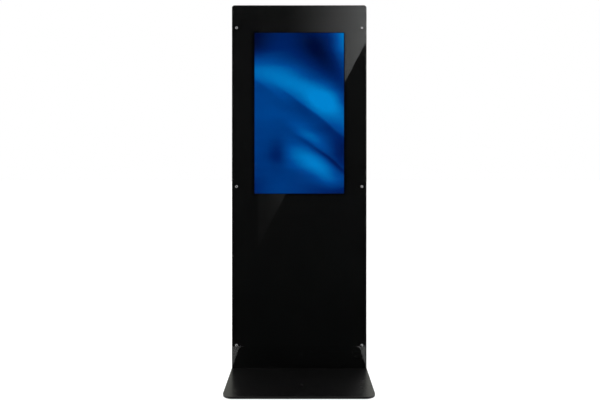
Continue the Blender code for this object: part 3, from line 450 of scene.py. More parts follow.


# galvanised cover with rows of round vents 3 mm across on a 5 mm pitch, staggered; the vents aren't cut,
# each is a near-black disc of painted shade over a dip in the relief
def supplyCover(place):
    pitch = supplyVents["pitch"]
    row = place.axis("Z") / pitch
    level = row.maths("FLOOR")
    across = place.axis("X") / pitch + level * supplyVents["row"]
    u = across.maths("FRACT") - 0.5
    v = row.maths("FRACT") - 0.5
    distance = (u * u + v * v).maths("SQRT")
    hole = 1 - distance.rise(*supplyVents["hole"])
    patch = place.cells(110, output=1).axis("X")
    skin = patch.blend((0.48, 0.50, 0.51), (0.60, 0.60, 0.58))
    return {
        # painted shade: each vent is a near-black, non-metal disc where the dark inside of a hole would show
        "Base Color": hole.blend(skin, (0.006, 0.006, 0.006)),
        "Metallic": 1 - hole,
        "Roughness": patch * 0.15 + 0.30 + hole * 0.4,
        "Relief": (1 - hole, 0.0006),
    }


# pressed steel tray behind the display: brushed one way, slightly stained
def trayMetal(place):
    lines = place.stretched((1, 1, 30)).noise(90, 3)
    stain = place.noise(7, 3, 0.6)
    return {
        "Base Color": stain.blend((0.46, 0.47, 0.48), (0.57, 0.57, 0.56)),
        "Roughness": lines * 0.18 + 0.30,
        "Relief": (lines, 0.00002),
    }


# cable jacket: soft plastic, scuffed in places
def cableSkin(place):
    scuff = place.noise(90, 4, 0.7)
    return {
        "Base Color": scuff.blend((0.010, 0.010, 0.010), (0.024, 0.024, 0.024)),
        "Roughness": scuff * 0.25 + 0.38,
        "Relief": (place.noise(1800, 2), 0.00003),
    }


# black print behind the glass: nearly no structure, with a fine screen-print tooth
def blackInk(place):
    tooth = place.noise(900, 2)
    broad = place.noise(4, 2)
    return {
        "Base Color": broad.blend((0.0082, 0.0082, 0.0083), (0.0098, 0.0098, 0.0098)),
        "Roughness": tooth * 0.2 + 0.45,
        "Relief": (tooth, 0.00001),
    }


# toughened glass: clear, with a very slight roller wave and a trace of wiped film
def clearGlass(place):
    film = place.stretched((1, 1, 0.4)).noise(12, 4, 0.6)
    return {
        "Base Color": film.blend((0.93, 0.96, 0.95), (0.97, 0.99, 0.98)),
        "Relief": (place.noise(3.5, 1), 0.000015),
    }


# clear sensor film with a grid of very fine conductors on a 4.5 mm pitch
def sensorFilm(place):
    across, up = (stripes(place.axis(way), 222, 0.985, 1.0) for way in "XZ")
    grid = across.maths("MAXIMUM", up)
    return {
        "Base Color": grid.blend((0.04, 0.05, 0.06), (0.10, 0.08, 0.05)),
        "Alpha": grid * 0.03 + 0.012,
        "Roughness": place.noise(20) * 0.02 + 0.05,
    }


print("finishes ready")


# The lit picture: a made-up pattern of soft light bands that fall to the right over deep blue

picture = {
    "stops": (
        (0.0, (0.0, 0.0025, 0.030)), (0.28, (0.0, 0.013, 0.105)),
        (0.58, (0.0, 0.054, 0.26)), (1.0, (0.0, 0.20, 0.56)),
    ),
    "base": 0.40, "fall": math.radians(37), "fine": 0.16, "wave": 0.10, "sway": 0.05,
    "sweep": (0.195, 0.10, 1.15, 0.172), "arc": (0.345, 5.0), "top": (0.20, 0.34), "topShade": 0.13,
    # each row: a run with its middle and width, a second run with its middle and width, the strength
    "lights": (
        ("sweep", 0.010, 0.066, "across", -0.03, 0.32, 0.46),
        ("across", 0.103, 0.070, "up", 0.045, 0.085, 0.40),
        ("over", -0.044, 0.026, "along", 0.10, 0.10, 0.27),
        ("over", -0.138, 0.048, "along", 0.18, 0.13, 0.52),
        ("across", 0.195, 0.040, "up", 0.34, 0.10, 0.52),
        ("across", -0.12, 0.10, "up", 0.04, 0.10, 0.12),
    ),
    "folds": (
        ("over", 0.042, 0.062, "along", 0.08, 0.17, 0.22),
        ("over", -0.064, 0.036, "along", 0.22, 0.15, 0.24),
        ("over", 0.0, 0.060, "along", -0.18, 0.13, 0.08),
    ),
    "shades": (
        ("arc", -0.040, 0.085, "across", 0.090, 0.095, 0.36),
        ("across", -0.215, 0.080, "up", 0.32, 0.08, 0.38),
        ("across", -0.082, 0.042, "up", -0.155, 0.060, 0.22),
        ("across", 0.20, 0.060, "up", -0.17, 0.055, 0.26),
        ("across", 0.20, 0.11, "up", -0.37, 0.060, 0.30),
        ("across", -0.20, 0.07, "up", -0.33, 0.08, 0.14),
    ),
}


# lights add to an even ground, folds and shades take from it: each is one run's bump times another's
def litPicture(place):
    centred = place.node("Mapping", {}, {0: place, 1: tuple(-middleOf("display_screen"))})
    fine = centred.stretched((0.6, 1, 3.6), -picture["fall"]).noise(7, 3, 0.5, 0.1) - 0.5
    wave = centred.noise(3.4, 1, 0.4, 0.3) - 0.5
    across = centred.axis("X") + wave * picture["sway"]
    up = centred.axis("Z") + wave * picture["sway"]
    along = across * math.cos(picture["fall"]) - up * math.sin(picture["fall"])
    over = across * math.sin(picture["fall"]) + up * math.cos(picture["fall"])
    # the broad band sweeps in from the left and steepens; the arc bends over the picture's top
    start, slope, bend, lift = picture["sweep"]
    past = across + start
    sweep = up + past * slope + past * past * bend - lift
    height, curve = picture["arc"]
    arc = up - height + across * across * curve
    runs = {"across": across, "up": up, "along": along, "over": over, "sweep": sweep, "arc": arc}
    light = fine * picture["fine"] + wave * picture["wave"] + picture["base"]
    light -= up.rise(*picture["top"]) * picture["topShade"]
    for group, bump, sign in (("lights", band, 1), ("folds", fold, -1), ("shades", band, -1)):
        for first, *size, second, middle, width, strength in picture[group]:
            light += bump(runs[first], *size) * band(runs[second], middle, width) * (sign * strength)
    return {
        "Base Color": light.blend((0.0004, 0.0004, 0.0006), (0.0008, 0.0008, 0.0012)),
        "Roughness": place.noise(300) * 0.05 + 0.18,
        "Emission Color": light.ramp(*picture["stops"]),
    }


# a bump with one crisp side: it rises within 12 mm below the level, then fades out over the width
def fold(wire, level, width):
    under = level - wire
    return under.rise(0.0, 0.012, "SMOOTHSTEP") * (1 - under.rise(0.010, width, "SMOOTHSTEP"))


# a soft bump, 1 at the middle and near 0 two widths away: exp(-(distance / width)^2)
def band(wire, middle, width):
    share = (wire - middle) / width
    return (0 - share * share).maths("EXPONENT")


# each slot's material: its name, what varies over it, and what doesn't
finishes = {
    "satin_black": ("satin powder coat", satinBlack, {"IOR": 1.5}),
    "zinc_steel": ("zinc plate", zincPlate, {"Metallic": 1.0}),
    "stainless": ("stainless steel", brightMetal(coats["stainless"], 900), {"Metallic": 1.0}),
    "chrome": ("polished chrome", brightMetal(coats["chrome"], 500), {"Metallic": 1.0}),
    "black_plastic": ("moulded plastic", mouldedPlastic, {}),
    "rubber": ("moulded rubber", rubberSkin, {"Specular IOR Level": 0.3}),
    "foam": ("foam seal", foamSkin, {"Specular IOR Level": 0.2}),
    "filter_mat": ("filter mat", filterMat, {"Specular IOR Level": 0.2}),
    "circuit_board": ("circuit board", circuitBoard, {"Coat Weight": 0.3, "Coat Roughness": 0.2}),
    "black_aluminium": ("black anodised", anodised, {"Metallic": 0.6}),
    "supply_case": ("perforated cover", supplyCover, {}),
    "backlight_tray": ("tray metal", trayMetal, {"Metallic": 1.0}),
    "cable_jacket": ("cable jacket", cableSkin, {}),
    "black_border": ("black print", blackInk, {"Specular IOR Level": 0.0}),
    "clear_glass": (
        "toughened glass", clearGlass, {"Transmission Weight": 1.0, "IOR": 1.5, "Roughness": 0.0},
    ),
    "touch_film": ("sensor film", sensorFilm, {"Specular IOR Level": 0.0}),
    "lit_screen": ("lit screen", litPicture, {"Emission Strength": 1.27, "Specular IOR Level": 0.1}),
}
coatOf = {slot: makeMaterial(*finish) for slot, finish in finishes.items()}
for part in frame["record"]["subparts"]:
    skin = nodes[part["node"]].data.materials
    skin.clear()
    skin.append(coatOf[part["material_slot"]])
print("frame nodes coated")


# Camera: it stands level with the chest and looks straight at the glass

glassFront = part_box("front_glass")[0][1]
# focal and shift are shares of the image's width
viewPoint = {
    "distance": 2.50, "across": 0.0074, "height": 0.8542,
    "focal": 577.06 / 600, "shift": (-0.93 / 600, -26.43 / 600), "sensor": 36.0, "clip": 0.01,
}


# the lens's length is its share of the image's width times the sensor's
def setCamera():
    lens = bpy.data.cameras.new("camera")
    lens.sensor_width = viewPoint["sensor"]
    lens.lens = viewPoint["focal"] * viewPoint["sensor"]
    lens.shift_x, lens.shift_y = viewPoint["shift"]
    lens.clip_start = viewPoint["clip"]
    camera = bpy.data.objects.new("camera", lens)
    camera.location = (viewPoint["across"], glassFront - viewPoint["distance"], viewPoint["height"])
    camera.rotation_euler = (math.pi / 2, 0, 0)
    bpy.context.collection.objects.link(camera)
    bpy.context.scene.camera = camera
    bpy.context.scene.view_settings.view_transform = "Standard"


# Surroundings: white to the eye; in reflections and as light, a pale room, dark in front of the glass

room = {
    "pale": (0.92, 0.92, 0.92), "behind": (0.50, 0.505, 0.46), "front": (0.033, 0.033, 0.034),
    "frontLow": (0.008, 0.008, 0.008), "overDisplay": (0.004, 0.004, 0.004), "seen": (1.0, 1.0, 1.0),
    # how far up or round the room each change of tone starts and ends
    "frontRise": (-0.32, 0.20), "toBehind": (0.62, 0.90), "toFront": (0.55, 0.86), "displaySoft": 0.003,
}


# 1 within the low and high limits, soft at both
def within(wire, low, high, soft):
    return wire.rise(low - soft, low) * (1 - wire.rise(high, high + soft))


# the room's tone by the way one looks: pale at the sides, greyer behind the kiosk, dark in front of it
def setRoom():
    world = bpy.data.worlds.new("room")
    bpy.context.scene.world = world
    world.use_nodes = True
    tree = world.node_tree
    tree.nodes.clear()
    way = Wire(tree, tree.nodes.new("ShaderNodeTexCoord").outputs["Generated"])
    ahead = 0 - way.axis("Y")

    # where a mirrored look along this axis would lie over the lit display: slope times distance from the eye
    def overDisplay(name, eye):
        ends = (corner["XYZ".index(name)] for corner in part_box("display_screen"))
        low, high = ((end - eye) / viewPoint["distance"] for end in ends)
        return within(way.axis(name) / ahead, low, high, room["displaySoft"])
    front = way.axis("Z").rise(*room["frontRise"]).blend(room["frontLow"], room["front"])
    shaded = overDisplay("X", viewPoint["across"]) * overDisplay("Z", viewPoint["height"])
    front = shaded.blend(front, room["overDisplay"])
    behind = (0 - ahead).rise(*room["toBehind"], "SMOOTHSTEP").blend(room["pale"], room["behind"])
    tone = ahead.rise(*room["toFront"], "SMOOTHSTEP").blend(behind, front)
    toEye = Wire(tree, tree.nodes.new("ShaderNodeLightPath").outputs["Is Camera Ray"])
    shown = way.node("Background", {}, {"Color": toEye.blend(tone, room["seen"]), "Strength": 1.0})
    way.node("OutputWorld", {}, {"Surface": shown}, None)


# a flat four-cornered sheet on the stage; mirroredOnly leaves it to reflections
def stageSheet(name, corners, material, mirroredOnly=False):
    mesh = bpy.data.meshes.new(name)
    mesh.from_pydata([tuple(corner) for corner in corners], [], [(0, 1, 2, 3)])
    sheet = bpy.data.objects.new(name, mesh)
    mesh.materials.append(material)
    bpy.context.collection.objects.link(sheet)
    if mirroredOnly:
        sheet.visible_camera = False
        sheet.visible_diffuse = False
        sheet.visible_shadow = False
    return sheet


# the corners of a level rectangle as wide to the left as to the right
def levelCorners(side, near, far, height):
    return [(-side, near, height), (side, near, height), (side, far, height), (-side, far, height)]


# light of its own; firstOnly hides it from a reflection of a reflection
def glowing(name, tone, firstOnly=False):
    material = bpy.data.materials.new(name)
    material.use_nodes = True
    tree = material.node_tree
    tree.nodes.clear()
    place = Wire(tree, tree.nodes.new("ShaderNodeTexCoord").outputs["Object"])
    mirrors = Wire(tree, tree.nodes.new("ShaderNodeLightPath").outputs["Glossy Depth"])
    strength = mirrors.maths("LESS_THAN", 1.5) if firstOnly else 1.0
    shown = place.node("Emission", {}, {"Color": tone(place), "Strength": strength})
    place.node("OutputMaterial", {}, {"Surface": shown}, None)
    return material


floorTone = {
    "colour": ((0.50, 0.50, 0.497), (0.52, 0.52, 0.52)), "glow": 0.80, "reach": 60.0,
    "mirrored": 0.62, "mirrorSide": 0.037, "mirrorNear": -0.002, "mirrorDrop": 0.0012,
}


# a pale matt floor, lightly mottled
def paleFloor(place):
    return {
        "Base Color": place.noise(3, 3).blend(*floorTone["colour"]),
        "Roughness": place.noise(30, 2) * 0.1 + 0.6,
    }


# the floor that the eye sees, and the strip of it beside the base plate that the glass mirrors
def setFloor():
    glow, reach = floorTone["glow"], floorTone["reach"]
    fixed = {"Specular IOR Level": 0.0, "Emission Color": (1, 1, 1, 1), "Emission Strength": glow}
    pale = makeMaterial("pale floor", paleFloor, fixed)
    floor = stageSheet("floor", levelCorners(reach, -reach, reach, 0), pale)
    floor.visible_glossy = False
    floor.visible_transmission = False
    low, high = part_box("base_plate")
    strip = levelCorners(
        high[0] + floorTone["mirrorSide"], low[1] + floorTone["mirrorNear"], glassFront,
        high[2] - floorTone["mirrorDrop"],
    )
    stageSheet("floorBesideBase", strip, glowing("floor in the glass", evenTone), True)


# nearly even: the floor's own slight mottling
def evenTone(place):
    tone = floorTone["mirrored"]
    return place.noise(6, 2).blend((tone * 0.97,) * 3, (tone * 1.03,) * 3)


# The window whose reflection lies over the glass's upper right: its slanted edge and its fall-off are set by
# where they show on the glass, then carried out to a card behind the camera

windowCard = {
    "edge": ((-0.179, 0.535), (0.291, 1.428)),  # on the glass: across, height
    "from": -0.075, "to": 0.285, "bright": 0.97, "bend": 1.8, "y": -3.4, "reach": 0.46, "top": 2.10,
    "least": 0.045, "displayTrim": 0.0050, "displaySoft": 0.006,
    "under": 0.09, "underFrom": 0.50, "underAcross": (-0.15, -0.06),
}


# the card's corners and limits are the glass's own, carried out from the mirrored eye in proportion
def setWindow():
    eye = np.array((viewPoint["across"], glassFront + viewPoint["distance"], viewPoint["height"]))
    spread = (eye[1] - windowCard["y"]) / viewPoint["distance"]

    def carried(across, height):
        return eye + (np.array((across, glassFront, height)) - eye) * spread

    def carriedAcross(*places):
        return (float(carried(place, 1)[0]) for place in places)
    (near, bottom), (end, endHeight) = windowCard["edge"]
    far, top = windowCard["reach"], windowCard["top"]
    side = bottom + (endHeight - bottom) / (end - near) * (far - near)
    corners = [carried(*place) for place in ((near, bottom), (far, side), (far, top), (near, top))]
    start, finish = carriedAcross(windowCard["from"], windowCard["to"])

    # dark where its reflection would lie over the lit display
    low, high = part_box("display_screen")
    trim, soft = windowCard["displayTrim"], windowCard["displaySoft"]
    left, lower = (float(value) for value in carried(low[0] + trim, low[2] + trim)[[0, 2]])
    right, upper = (float(value) for value in carried(high[0] - trim, high[2] - trim)[[0, 2]])
    underLow = float(carried(0, windowCard["underFrom"])[2])
    underLeft, underRight = carriedAcross(*windowCard["underAcross"])

    # rises across the card by a power, outside the display, with a faint patch under it
    def tone(place):
        across, up = place.axis("X"), place.axis("Z")
        beside, above = 1 - within(across, left, right, soft), 1 - within(up, lower, upper, soft)
        level = across.rise(start, finish).maths("POWER", windowCard["bend"])
        level = (level * windowCard["bright"] + windowCard["least"]) * beside.maths("MAXIMUM", above)
        below = 1 - up.rise(lower - soft, lower)
        level += below * up.rise(underLow, lower) * across.rise(underLeft, underRight) * windowCard["under"]
        return level.node("CombineColor", {}, {0: level, 1: level, 2: level})
    stageSheet("windowCard", corners, glowing("window light", tone, True), True)


lamps = {
    "frontKey": {"at": (-1.6, -2.6, 2.6), "size": 1.6, "power": 26, "aim": (0, 0.1, 0.8)},
    "rearKey": {"at": (1.8, 2.6, 2.4), "size": 1.8, "power": 42, "aim": (0, 0.15, 0.9)},
    "rearFill": {"at": (-2.2, 2.0, 1.0), "size": 1.6, "power": 18, "aim": (0, 0.15, 0.7)},
}


# area lamps, each turned to its aim: tilted by the angle from straight down, then swung round to face it
def setLamps():
    for name, values in lamps.items():
        data = bpy.data.lights.new(name, "AREA")
        data.size = values["size"]
        data.energy = values["power"]
        lamp = bpy.data.objects.new(name, data)
        lamp.location = values["at"]
        way = [far - near for far, near in zip(values["aim"], values["at"])]
        flat = math.hypot(way[0], way[1])
        lamp.rotation_euler = (math.atan2(flat, -way[2]), 0, math.atan2(-way[0], way[1]))
        lamp.visible_glossy = name != "frontKey"
        lamp.visible_camera = False
        bpy.context.collection.objects.link(lamp)


for setUp in (setCamera, setRoom, setFloor, setWindow, setLamps):
    setUp()
print("camera, room and lights set")


# Fasteners

headShape = {"domeStart": 0.30, "steps": 6, "taper": 0.97, "floor": 0.30, "lip": 0.04}


# a six-sided outline's distance from its middle at each angle, as a share of its corner radius
def hexShare(count):
    angle = np.arange(count) * 2 * math.pi / count
    return math.cos(math.pi / 6) / np.cos((angle + math.pi / 6) % (math.pi / 3) - math.pi / 6)


# a button head with a hex socket: rings from the socket's floor, over the dome, to the underside and shank;
# the dome's radius is sin(a) and its height cos(a) of the head's own
def domeHead(centre, axis, side, radius, height, socket=0.40, count=24, shank=None):
    taper, floor, lip = pick(headShape, "taper floor lip")
    hexagon = socket * radius * hexShare(count)
    arc = np.linspace(headShape["domeStart"], 1.0, headShape["steps"]) * math.pi / 2
    level = height * np.cos(arc)
    radii = [hexagon * taper, hexagon, *(radius * np.sin(arc)), radius * taper]
    along = [height * floor, level[0], *level, -height * lip]
    if shank:
        radii += [shank[0], shank[0]]
        along += [-height * lip, -shank[1]]
    flat = np.stack([np.broadcast_to(reach, count)[:, None] * circle(count) for reach in radii])
    return stack(lay(flat, side * np.array(along)[:, None], axis, centre))


# one button head of a size (radius, height) at each place
def screwHeads(places, axis, side, size, socket=0.40):
    return joined(*(domeHead(place, axis, side, *size, socket) for place in places))


# a ring between an outer and an inner outline, closed round its own section
def ringPiece(outer, inner, low, high, chamfer, axis, centre):
    shrink = 1 - chamfer / np.linalg.norm(outer, axis=-1).max()
    flat = np.stack([inner, inner, outer * shrink, outer, outer, outer * shrink])
    along = np.array([low, high, high, high - chamfer, low + chamfer, low])
    return loop(lay(flat, along[:, None], axis, centre))


# a nut: a ring between a hexagon and a round bore
def hexNut(centre, axis, corner, bore, low, high, count=24, chamfer=0.12):
    outer = corner * hexShare(count)[:, None] * circle(count)
    return ringPiece(outer, bore * circle(count), low, high, (high - low) * chamfer, axis, centre)


# a washer: a ring between two circles
def washer(centre, axis, outer, bore, low, high, count=32, chamfer=0.2):
    rim, hole = outer * circle(count), bore * circle(count)
    return ringPiece(rim, hole, low, high, (high - low) * chamfer, axis, centre)


# four places, one at each corner of an upright rectangle
def fourPlaces(left, right, bottom, top, depth):
    return [(x, depth, z) for x in (left, right) for z in (bottom, top)]


glassFixings = {
    "screws": 6, "socket": 0.44, "sides": 40, "shank": 0.00292, "seat": 0.0011,
    "rim": 0.0016, "washer": (hair, 0.0010), "washerSides": 48,
}


# the glass's button heads, in place of the plain ones, each on a nylon washer
def addGlassFixings():
    socket, sides, shank = pick(glassFixings, "socket sides shank")
    seat = glassFront - glassFixings["seat"]
    washers = []
    for number in range(1, glassFixings["screws"] + 1):
        name = f"glass_screw_{number}"
        low, high = boxOf(name)
        middle = (low + high) / 2
        radius = (high[0] - low[0]) / 2
        centre = (middle[0], seat, middle[2])
        head = domeHead(centre, "y", -1, radius, seat - low[1], socket, sides, (shank, high[1] - seat))
        makePiece(f"glassScrew{number}", head, "stainless", hides=[name])
        rim = radius + glassFixings["rim"]
        washers.append(
            washer(centre, "y", rim, shank + hair, *glassFixings["washer"], glassFixings["washerSides"])
        )
    makePiece("nylonWashers", joined(*washers), "black_plastic")


baseFixings = {"screws": 3, "foot": 0.006, "corner": 0.0092, "bore": 0.00515, "height": 0.0046}


# nuts under the base bracket's screws
def addBaseFixings():
    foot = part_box("base_bracket")[0][2] + baseFixings["foot"]
    corner, bore, height = pick(baseFixings, "corner bore height")
    nuts = []
    for number in range(1, baseFixings["screws"] + 1):
        middle = middleOf(f"base_bolt_{number}")
        nuts.append(hexNut((middle[0], middle[1], foot), "z", corner, bore, hair, height))
    makePiece("baseNuts", joined(*nuts), "zinc_steel")


# Rear connectors

inletFit = {
    "opening": 1, "recess": 0.016, "blade": (0.0010, 0.0020), "reach": 0.0115,
    "pins": ((-0.0070, -0.0022), (0.0070, -0.0022), (0, 0.0030)), "radius": 0.0004, "chamfer": 0.0005,
}


# three flat blades on the floor of the inlet's recess
def addInletPins():
    opening = frame["record"]["physics"]["openings"][inletFit["opening"]]
    low, high = (np.array(corner) for corner in opening["box_m"])
    middle = (low + high) / 2
    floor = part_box("power_inlet")[1][1] - inletFit["recess"]
    wide, tall = inletFit["blade"]
    blades = []
    for across, up in inletFit["pins"]:
        x, z = middle[0] + across, middle[2] + up
        start, end = (x - wide, floor + hair, z - tall), (x + wide, floor + inletFit["reach"], z + tall)
        blades.append(block(start, end, "y", inletFit["radius"], inletFit["chamfer"]))
    makePiece("inletPins", joined(*blades), "stainless")


socketFit = {
    "contacts": 8, "pitch": 0.00102, "half": 0.00022,
    # each contact springs down from the recess's roof towards the back
    "run": ((0, -0.0030, 0.0034), (0, -0.0055, 0.0031), (0, -0.0085, 0.0012), (0, -0.0105, 0.0004)),
    "lamp": (0.0016, 0.0010), "lampAt": (0.0040, -0.0066), "lampProud": 0.0006,
    "screw": (0.0019, 0.0009), "screwAt": 0.0098,
}
lampTones = {"amber": (0.9, 0.35, 0.02), "green": (0.05, 0.65, 0.12)}


# a small lit lens, a little darker in places
def litLens(tone):
    def recipe(place):
        core = place.noise(900, 2)
        return {
            "Base Color": core.blend([value * 0.5 for value in tone], tone),
            "Roughness": core * 0.1 + 0.12,
            "Emission Color": core.blend([value * 0.3 for value in tone], tone),
        }
    return recipe


# gold plate, wiped by use
def goldPlate(place):
    wipe = place.noise(1500, 2)
    return {
        "Base Color": wipe.blend((0.80, 0.55, 0.20), (0.92, 0.70, 0.32)),
        "Roughness": wipe * 0.15 + 0.15,
    }


# the network socket's spring contacts, its two lamps and its screws
def addSocketFit():
    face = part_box("network_socket")[1][1]
    middle = middleOf("network_socket")
    gold = makeMaterial("gold plate", goldPlate, {"Metallic": 1.0})
    wire = tube(np.array(socketFit["run"]) + (middle[0], face, middle[2]), socketFit["half"], 8, (1, 0, 0))
    contacts = copies(wire, spaced(socketFit["contacts"], socketFit["pitch"]))
    makePiece("networkContacts", contacts, "stainless", skin=gold)
    wide, tall = socketFit["lamp"]
    across, up = socketFit["lampAt"]
    for name, side in (("amber", -1), ("green", 1)):
        x, z = middle[0] + side * across, middle[2] + up
        end = (x + wide, face + socketFit["lampProud"], z + tall)
        lens = block((x - wide, face + hair, z - tall), end, "y", 0.0004, 0.0002)
        skin = makeMaterial(name + " lens", litLens(lampTones[name]), {"Emission Strength": 0.8})
        makePiece(name + "NetworkLamp", lens, "black_plastic", skin=skin)
    ends = [(middle[0] + side * socketFit["screwAt"], face + hair, middle[2]) for side in (-1, 1)]
    makePiece("networkScrews", screwHeads(ends, "y", 1, socketFit["screw"]), "stainless")


plateFit = {"inset": 0.0065, "screw": (0.0029, 0.0017)}


# a screw in each corner of the connector plate
def addPlateScrews():
    low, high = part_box("connector_plate")
    inset = plateFit["inset"]
    corners = fourPlaces(low[0] + inset, high[0] - inset, low[2] + inset, high[2] - inset, high[1] + hair)
    makePiece("connectorPlateScrews", screwHeads(corners, "y", 1, plateFit["screw"]), "zinc_steel")


rivetFit = {
    "across": 0.2838, "rows": 8, "inset": 0.05, "radius": 0.0026, "height": 0.0010, "pin": 0.34,
    "pinEdge": ((0.5, 0.55), (0.8, 0.55), (1.0, 0.9)),  # shares of the pin's radius and of the height
}


# blind rivets down both edges of the frame: a low dome with a broken-off pin in its middle
def addRivets():
    back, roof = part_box("rear_frame")[1][1:]
    radius, height, pin = pick(rivetFit, "radius height pin")
    arc = np.linspace(pin, 1.0, 5)[1:] * math.pi / 2
    edge = [(radius * pin * across, height * up) for across, up in rivetFit["pinEdge"]]
    dome = turned([*edge, *zip(radius * np.sin(arc), height * np.cos(arc))], "y", (0, back + hair, 0), 20)
    inset = rivetFit["inset"]
    levels = np.linspace(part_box("rear_sill")[0][2] + inset, roof - inset, rivetFit["rows"])
    places = [(side * rivetFit["across"], 0, level) for side in (-1, 1) for level in levels]
    makePiece("frameRivets", copies(dome, places), "satin_black")


hingeFit = {
    "gap": 0.0003, "leaf": 0.002, "inset": 0.0046, "steps": (-0.022, 0, 0.022), "screw": (0.0027, 0.0006),
    "socket": 0.45,
}


# countersunk screws in the hinges' case leaves
def addHingeScrews():
    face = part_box("rear_frame")[1][1] + hingeFit["gap"] + hingeFit["leaf"]
    places = []
    for level in ("lower", "upper"):
        low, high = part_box(f"hinge_case_leaf_{level}")
        middle = (low[2] + high[2]) / 2
        places += [(high[0] - hingeFit["inset"], face + hair, middle + step) for step in hingeFit["steps"]]
    makePiece("hingeScrews", screwHeads(places, "y", 1, hingeFit["screw"], hingeFit["socket"]), "stainless")


# Door fittings

fanFit = {
    "inset": 0.0045, "screw": (0.0034, 0.0018), "wire": 0.0008, "clear": 0.0002,
    "rings": (0.012, 0.021, 0.030, 0.039), "ringLift": 1.7, "ringPoints": 64, "barPoints": 25,
}


# guards of round wires on two crossed bars, a wire's thickness off the fans, and screws on both sides
def addFanFit():
    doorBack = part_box("rear_door")[1][1]
    wire = fanFit["wire"]
    ring = np.insert(circle(fanFit["ringPoints"]), 1, 0, axis=1)
    share = np.linspace(-1, 1, fanFit["barPoints"])
    outer, guards = [], []
    for side in ("left", "right"):
        low, high = boxOf(f"fan_frame_{side}")
        middle = (low + high) / 2
        pitch = (high[0] - low[0]) / 2 - fanFit["inset"]
        across, up = ((middle[way] - pitch, middle[way] + pitch) for way in (0, 2))
        outer += fourPlaces(*across, *up, doorBack + hair)
        front = low[1] - wire - fanFit["clear"]
        for radius in fanFit["rings"]:
            path = radius * ring + (middle[0], front - fanFit["ringLift"] * wire, middle[2])
            guards.append(tube(path, wire, 8, closed=True))
        for slope in (-1, 1):
            bar = np.stack([pitch * share, share * 0, slope * pitch * share], axis=-1)
            guards.append(tube(bar + (middle[0], front, middle[2]), wire, 8))
        guards.append(screwHeads(fourPlaces(*across, *up, low[1] - hair), "y", -1, fanFit["screw"]))
    makePiece("fanScrews", screwHeads(outer, "y", 1, fanFit["screw"]), "stainless", "rear_door")
    makePiece("fanGuards", joined(*guards), "chrome", "rear_door")


filterFit = {
    "rail": 0.006, "over": 0.002, "radii": (0.003, 0.002), "clear": 0.0003, "thick": 0.0016,
    "bar": 0.0009, "barEnd": 0.005, "columns": 6, "uprights": (0.0013, 0.0002),
    "rows": 3, "levels": (0.0016, 0.0004),
}


# the filter's holder: a flat frame over its edge and a grid of thin bars across its face
def addFilterHolder():
    low, high = boxOf("air_filter")
    half = (high - low) / 2
    middle = (low + high) / 2
    front = low[1] - filterFit["clear"]
    over, rail, bar, short = pick(filterFit, "over rail bar barEnd")
    outer = roundRect(half[0] + over, half[2] + over, filterFit["radii"][0])
    inner = roundRect(half[0] - rail, half[2] - rail, filterFit["radii"][1])
    parts = [ringPiece(outer, inner, -filterFit["thick"], 0, 0.0003, "y", (middle[0], front, middle[2]))]
    first, last = low + short, high - short
    near, far = filterFit["uprights"]
    for x in middle[0] + np.linspace(-half[0], half[0], filterFit["columns"] + 2)[1:-1]:
        start, end = (x - bar, front - near, first[2]), (x + bar, front - far, last[2])
        parts.append(block(start, end, "z", 0.0005, 0.0002))
    near, far = filterFit["levels"]
    for z in middle[2] + np.linspace(-half[2], half[2], filterFit["rows"] + 2)[1:-1]:
        start, end = (first[0], front - near, z - bar), (last[0], front - far, z + bar)
        parts.append(block(start, end, "x", 0.0005, 0.0002))
    makePiece("filterHolder", joined(*parts), "black_plastic", "rear_door")


lockFit = {"corner": 0.0138, "bore": 0.0096, "span": (-0.0042, -0.0002), "bolt": (0.0042, 0.0032)}


# each lock's nut behind the door skin, and the bolt that holds its cam
def addLockFit():
    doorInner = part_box("rear_door")[0][1]
    for level in ("lower", "upper"):
        middle = middleOf(f"lock_housing_{level}")
        centre = (middle[0], doorInner, middle[2])
        nut = hexNut(centre, "y", lockFit["corner"], lockFit["bore"], *lockFit["span"])
        makePiece(f"{level}LockNut", nut, "zinc_steel", "rear_door")
        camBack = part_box(f"lock_cam_{level}")[0][1]
        bolt = domeHead((middle[0], camBack - hair, middle[2]), "y", -1, *lockFit["bolt"])
        makePiece(f"{level}CamBolt", bolt, "zinc_steel", f"{level}_lock")


# Electronics

supplyFit = {
    "terminals": 9, "pitch": 0.0098, "step": 0.018, "gap": 0.0003, "span": (0.001, 0.0115), "base": 0.006,
    "wall": 0.0007, "wallSpan": (0.0055, 0.011), "screwLift": 0.0062, "terminalScrew": (0.0030, 0.0018),
    "coverInset": 0.006, "coverFoot": 0.018, "coverScrew": (0.0026, 0.0013),
}


# a terminal block with a wall between its screws, and the cover's four screws
def addSupplyFit():
    low, high = boxOf("power_supply")
    middle = (low + high) / 2
    step = low[1] + supplyFit["step"] + supplyFit["gap"]
    count, pitch, wall = pick(supplyFit, "terminals pitch wall")
    bottom, top = (low[2] + level for level in supplyFit["span"])
    half = count * pitch / 2

    # a part of the block: its reach across from the middle and its span out from the step
    def part(reach, start, end, chamfer):
        low, high = (middle[0] - reach, step + start, bottom), (middle[0] + reach, step + end, top)
        return block(low, high, "x", 0.0005, chamfer)
    base, fin = part(half, 0, supplyFit["base"], 0.0003), part(wall, *supplyFit["wallSpan"], 0.0002)
    makePiece("terminalBlock", joined(base, copies(fin, spaced(count + 1, pitch))), "black_plastic")
    lift = supplyFit["screwLift"]
    head = domeHead((middle[0], step + lift, low[2] + lift), "y", 1, *supplyFit["terminalScrew"])
    makePiece("terminalScrews", copies(head, spaced(count, pitch)), "zinc_steel")
    inset = supplyFit["coverInset"]
    corner = domeHead((0, high[1] + hair, 0), "y", 1, *supplyFit["coverScrew"])
    places = fourPlaces(low[0] + inset, high[0] - inset, low[2] + supplyFit["coverFoot"], high[2] - inset, 0)
    makePiece("supplyCoverScrews", copies(corner, places), "zinc_steel")


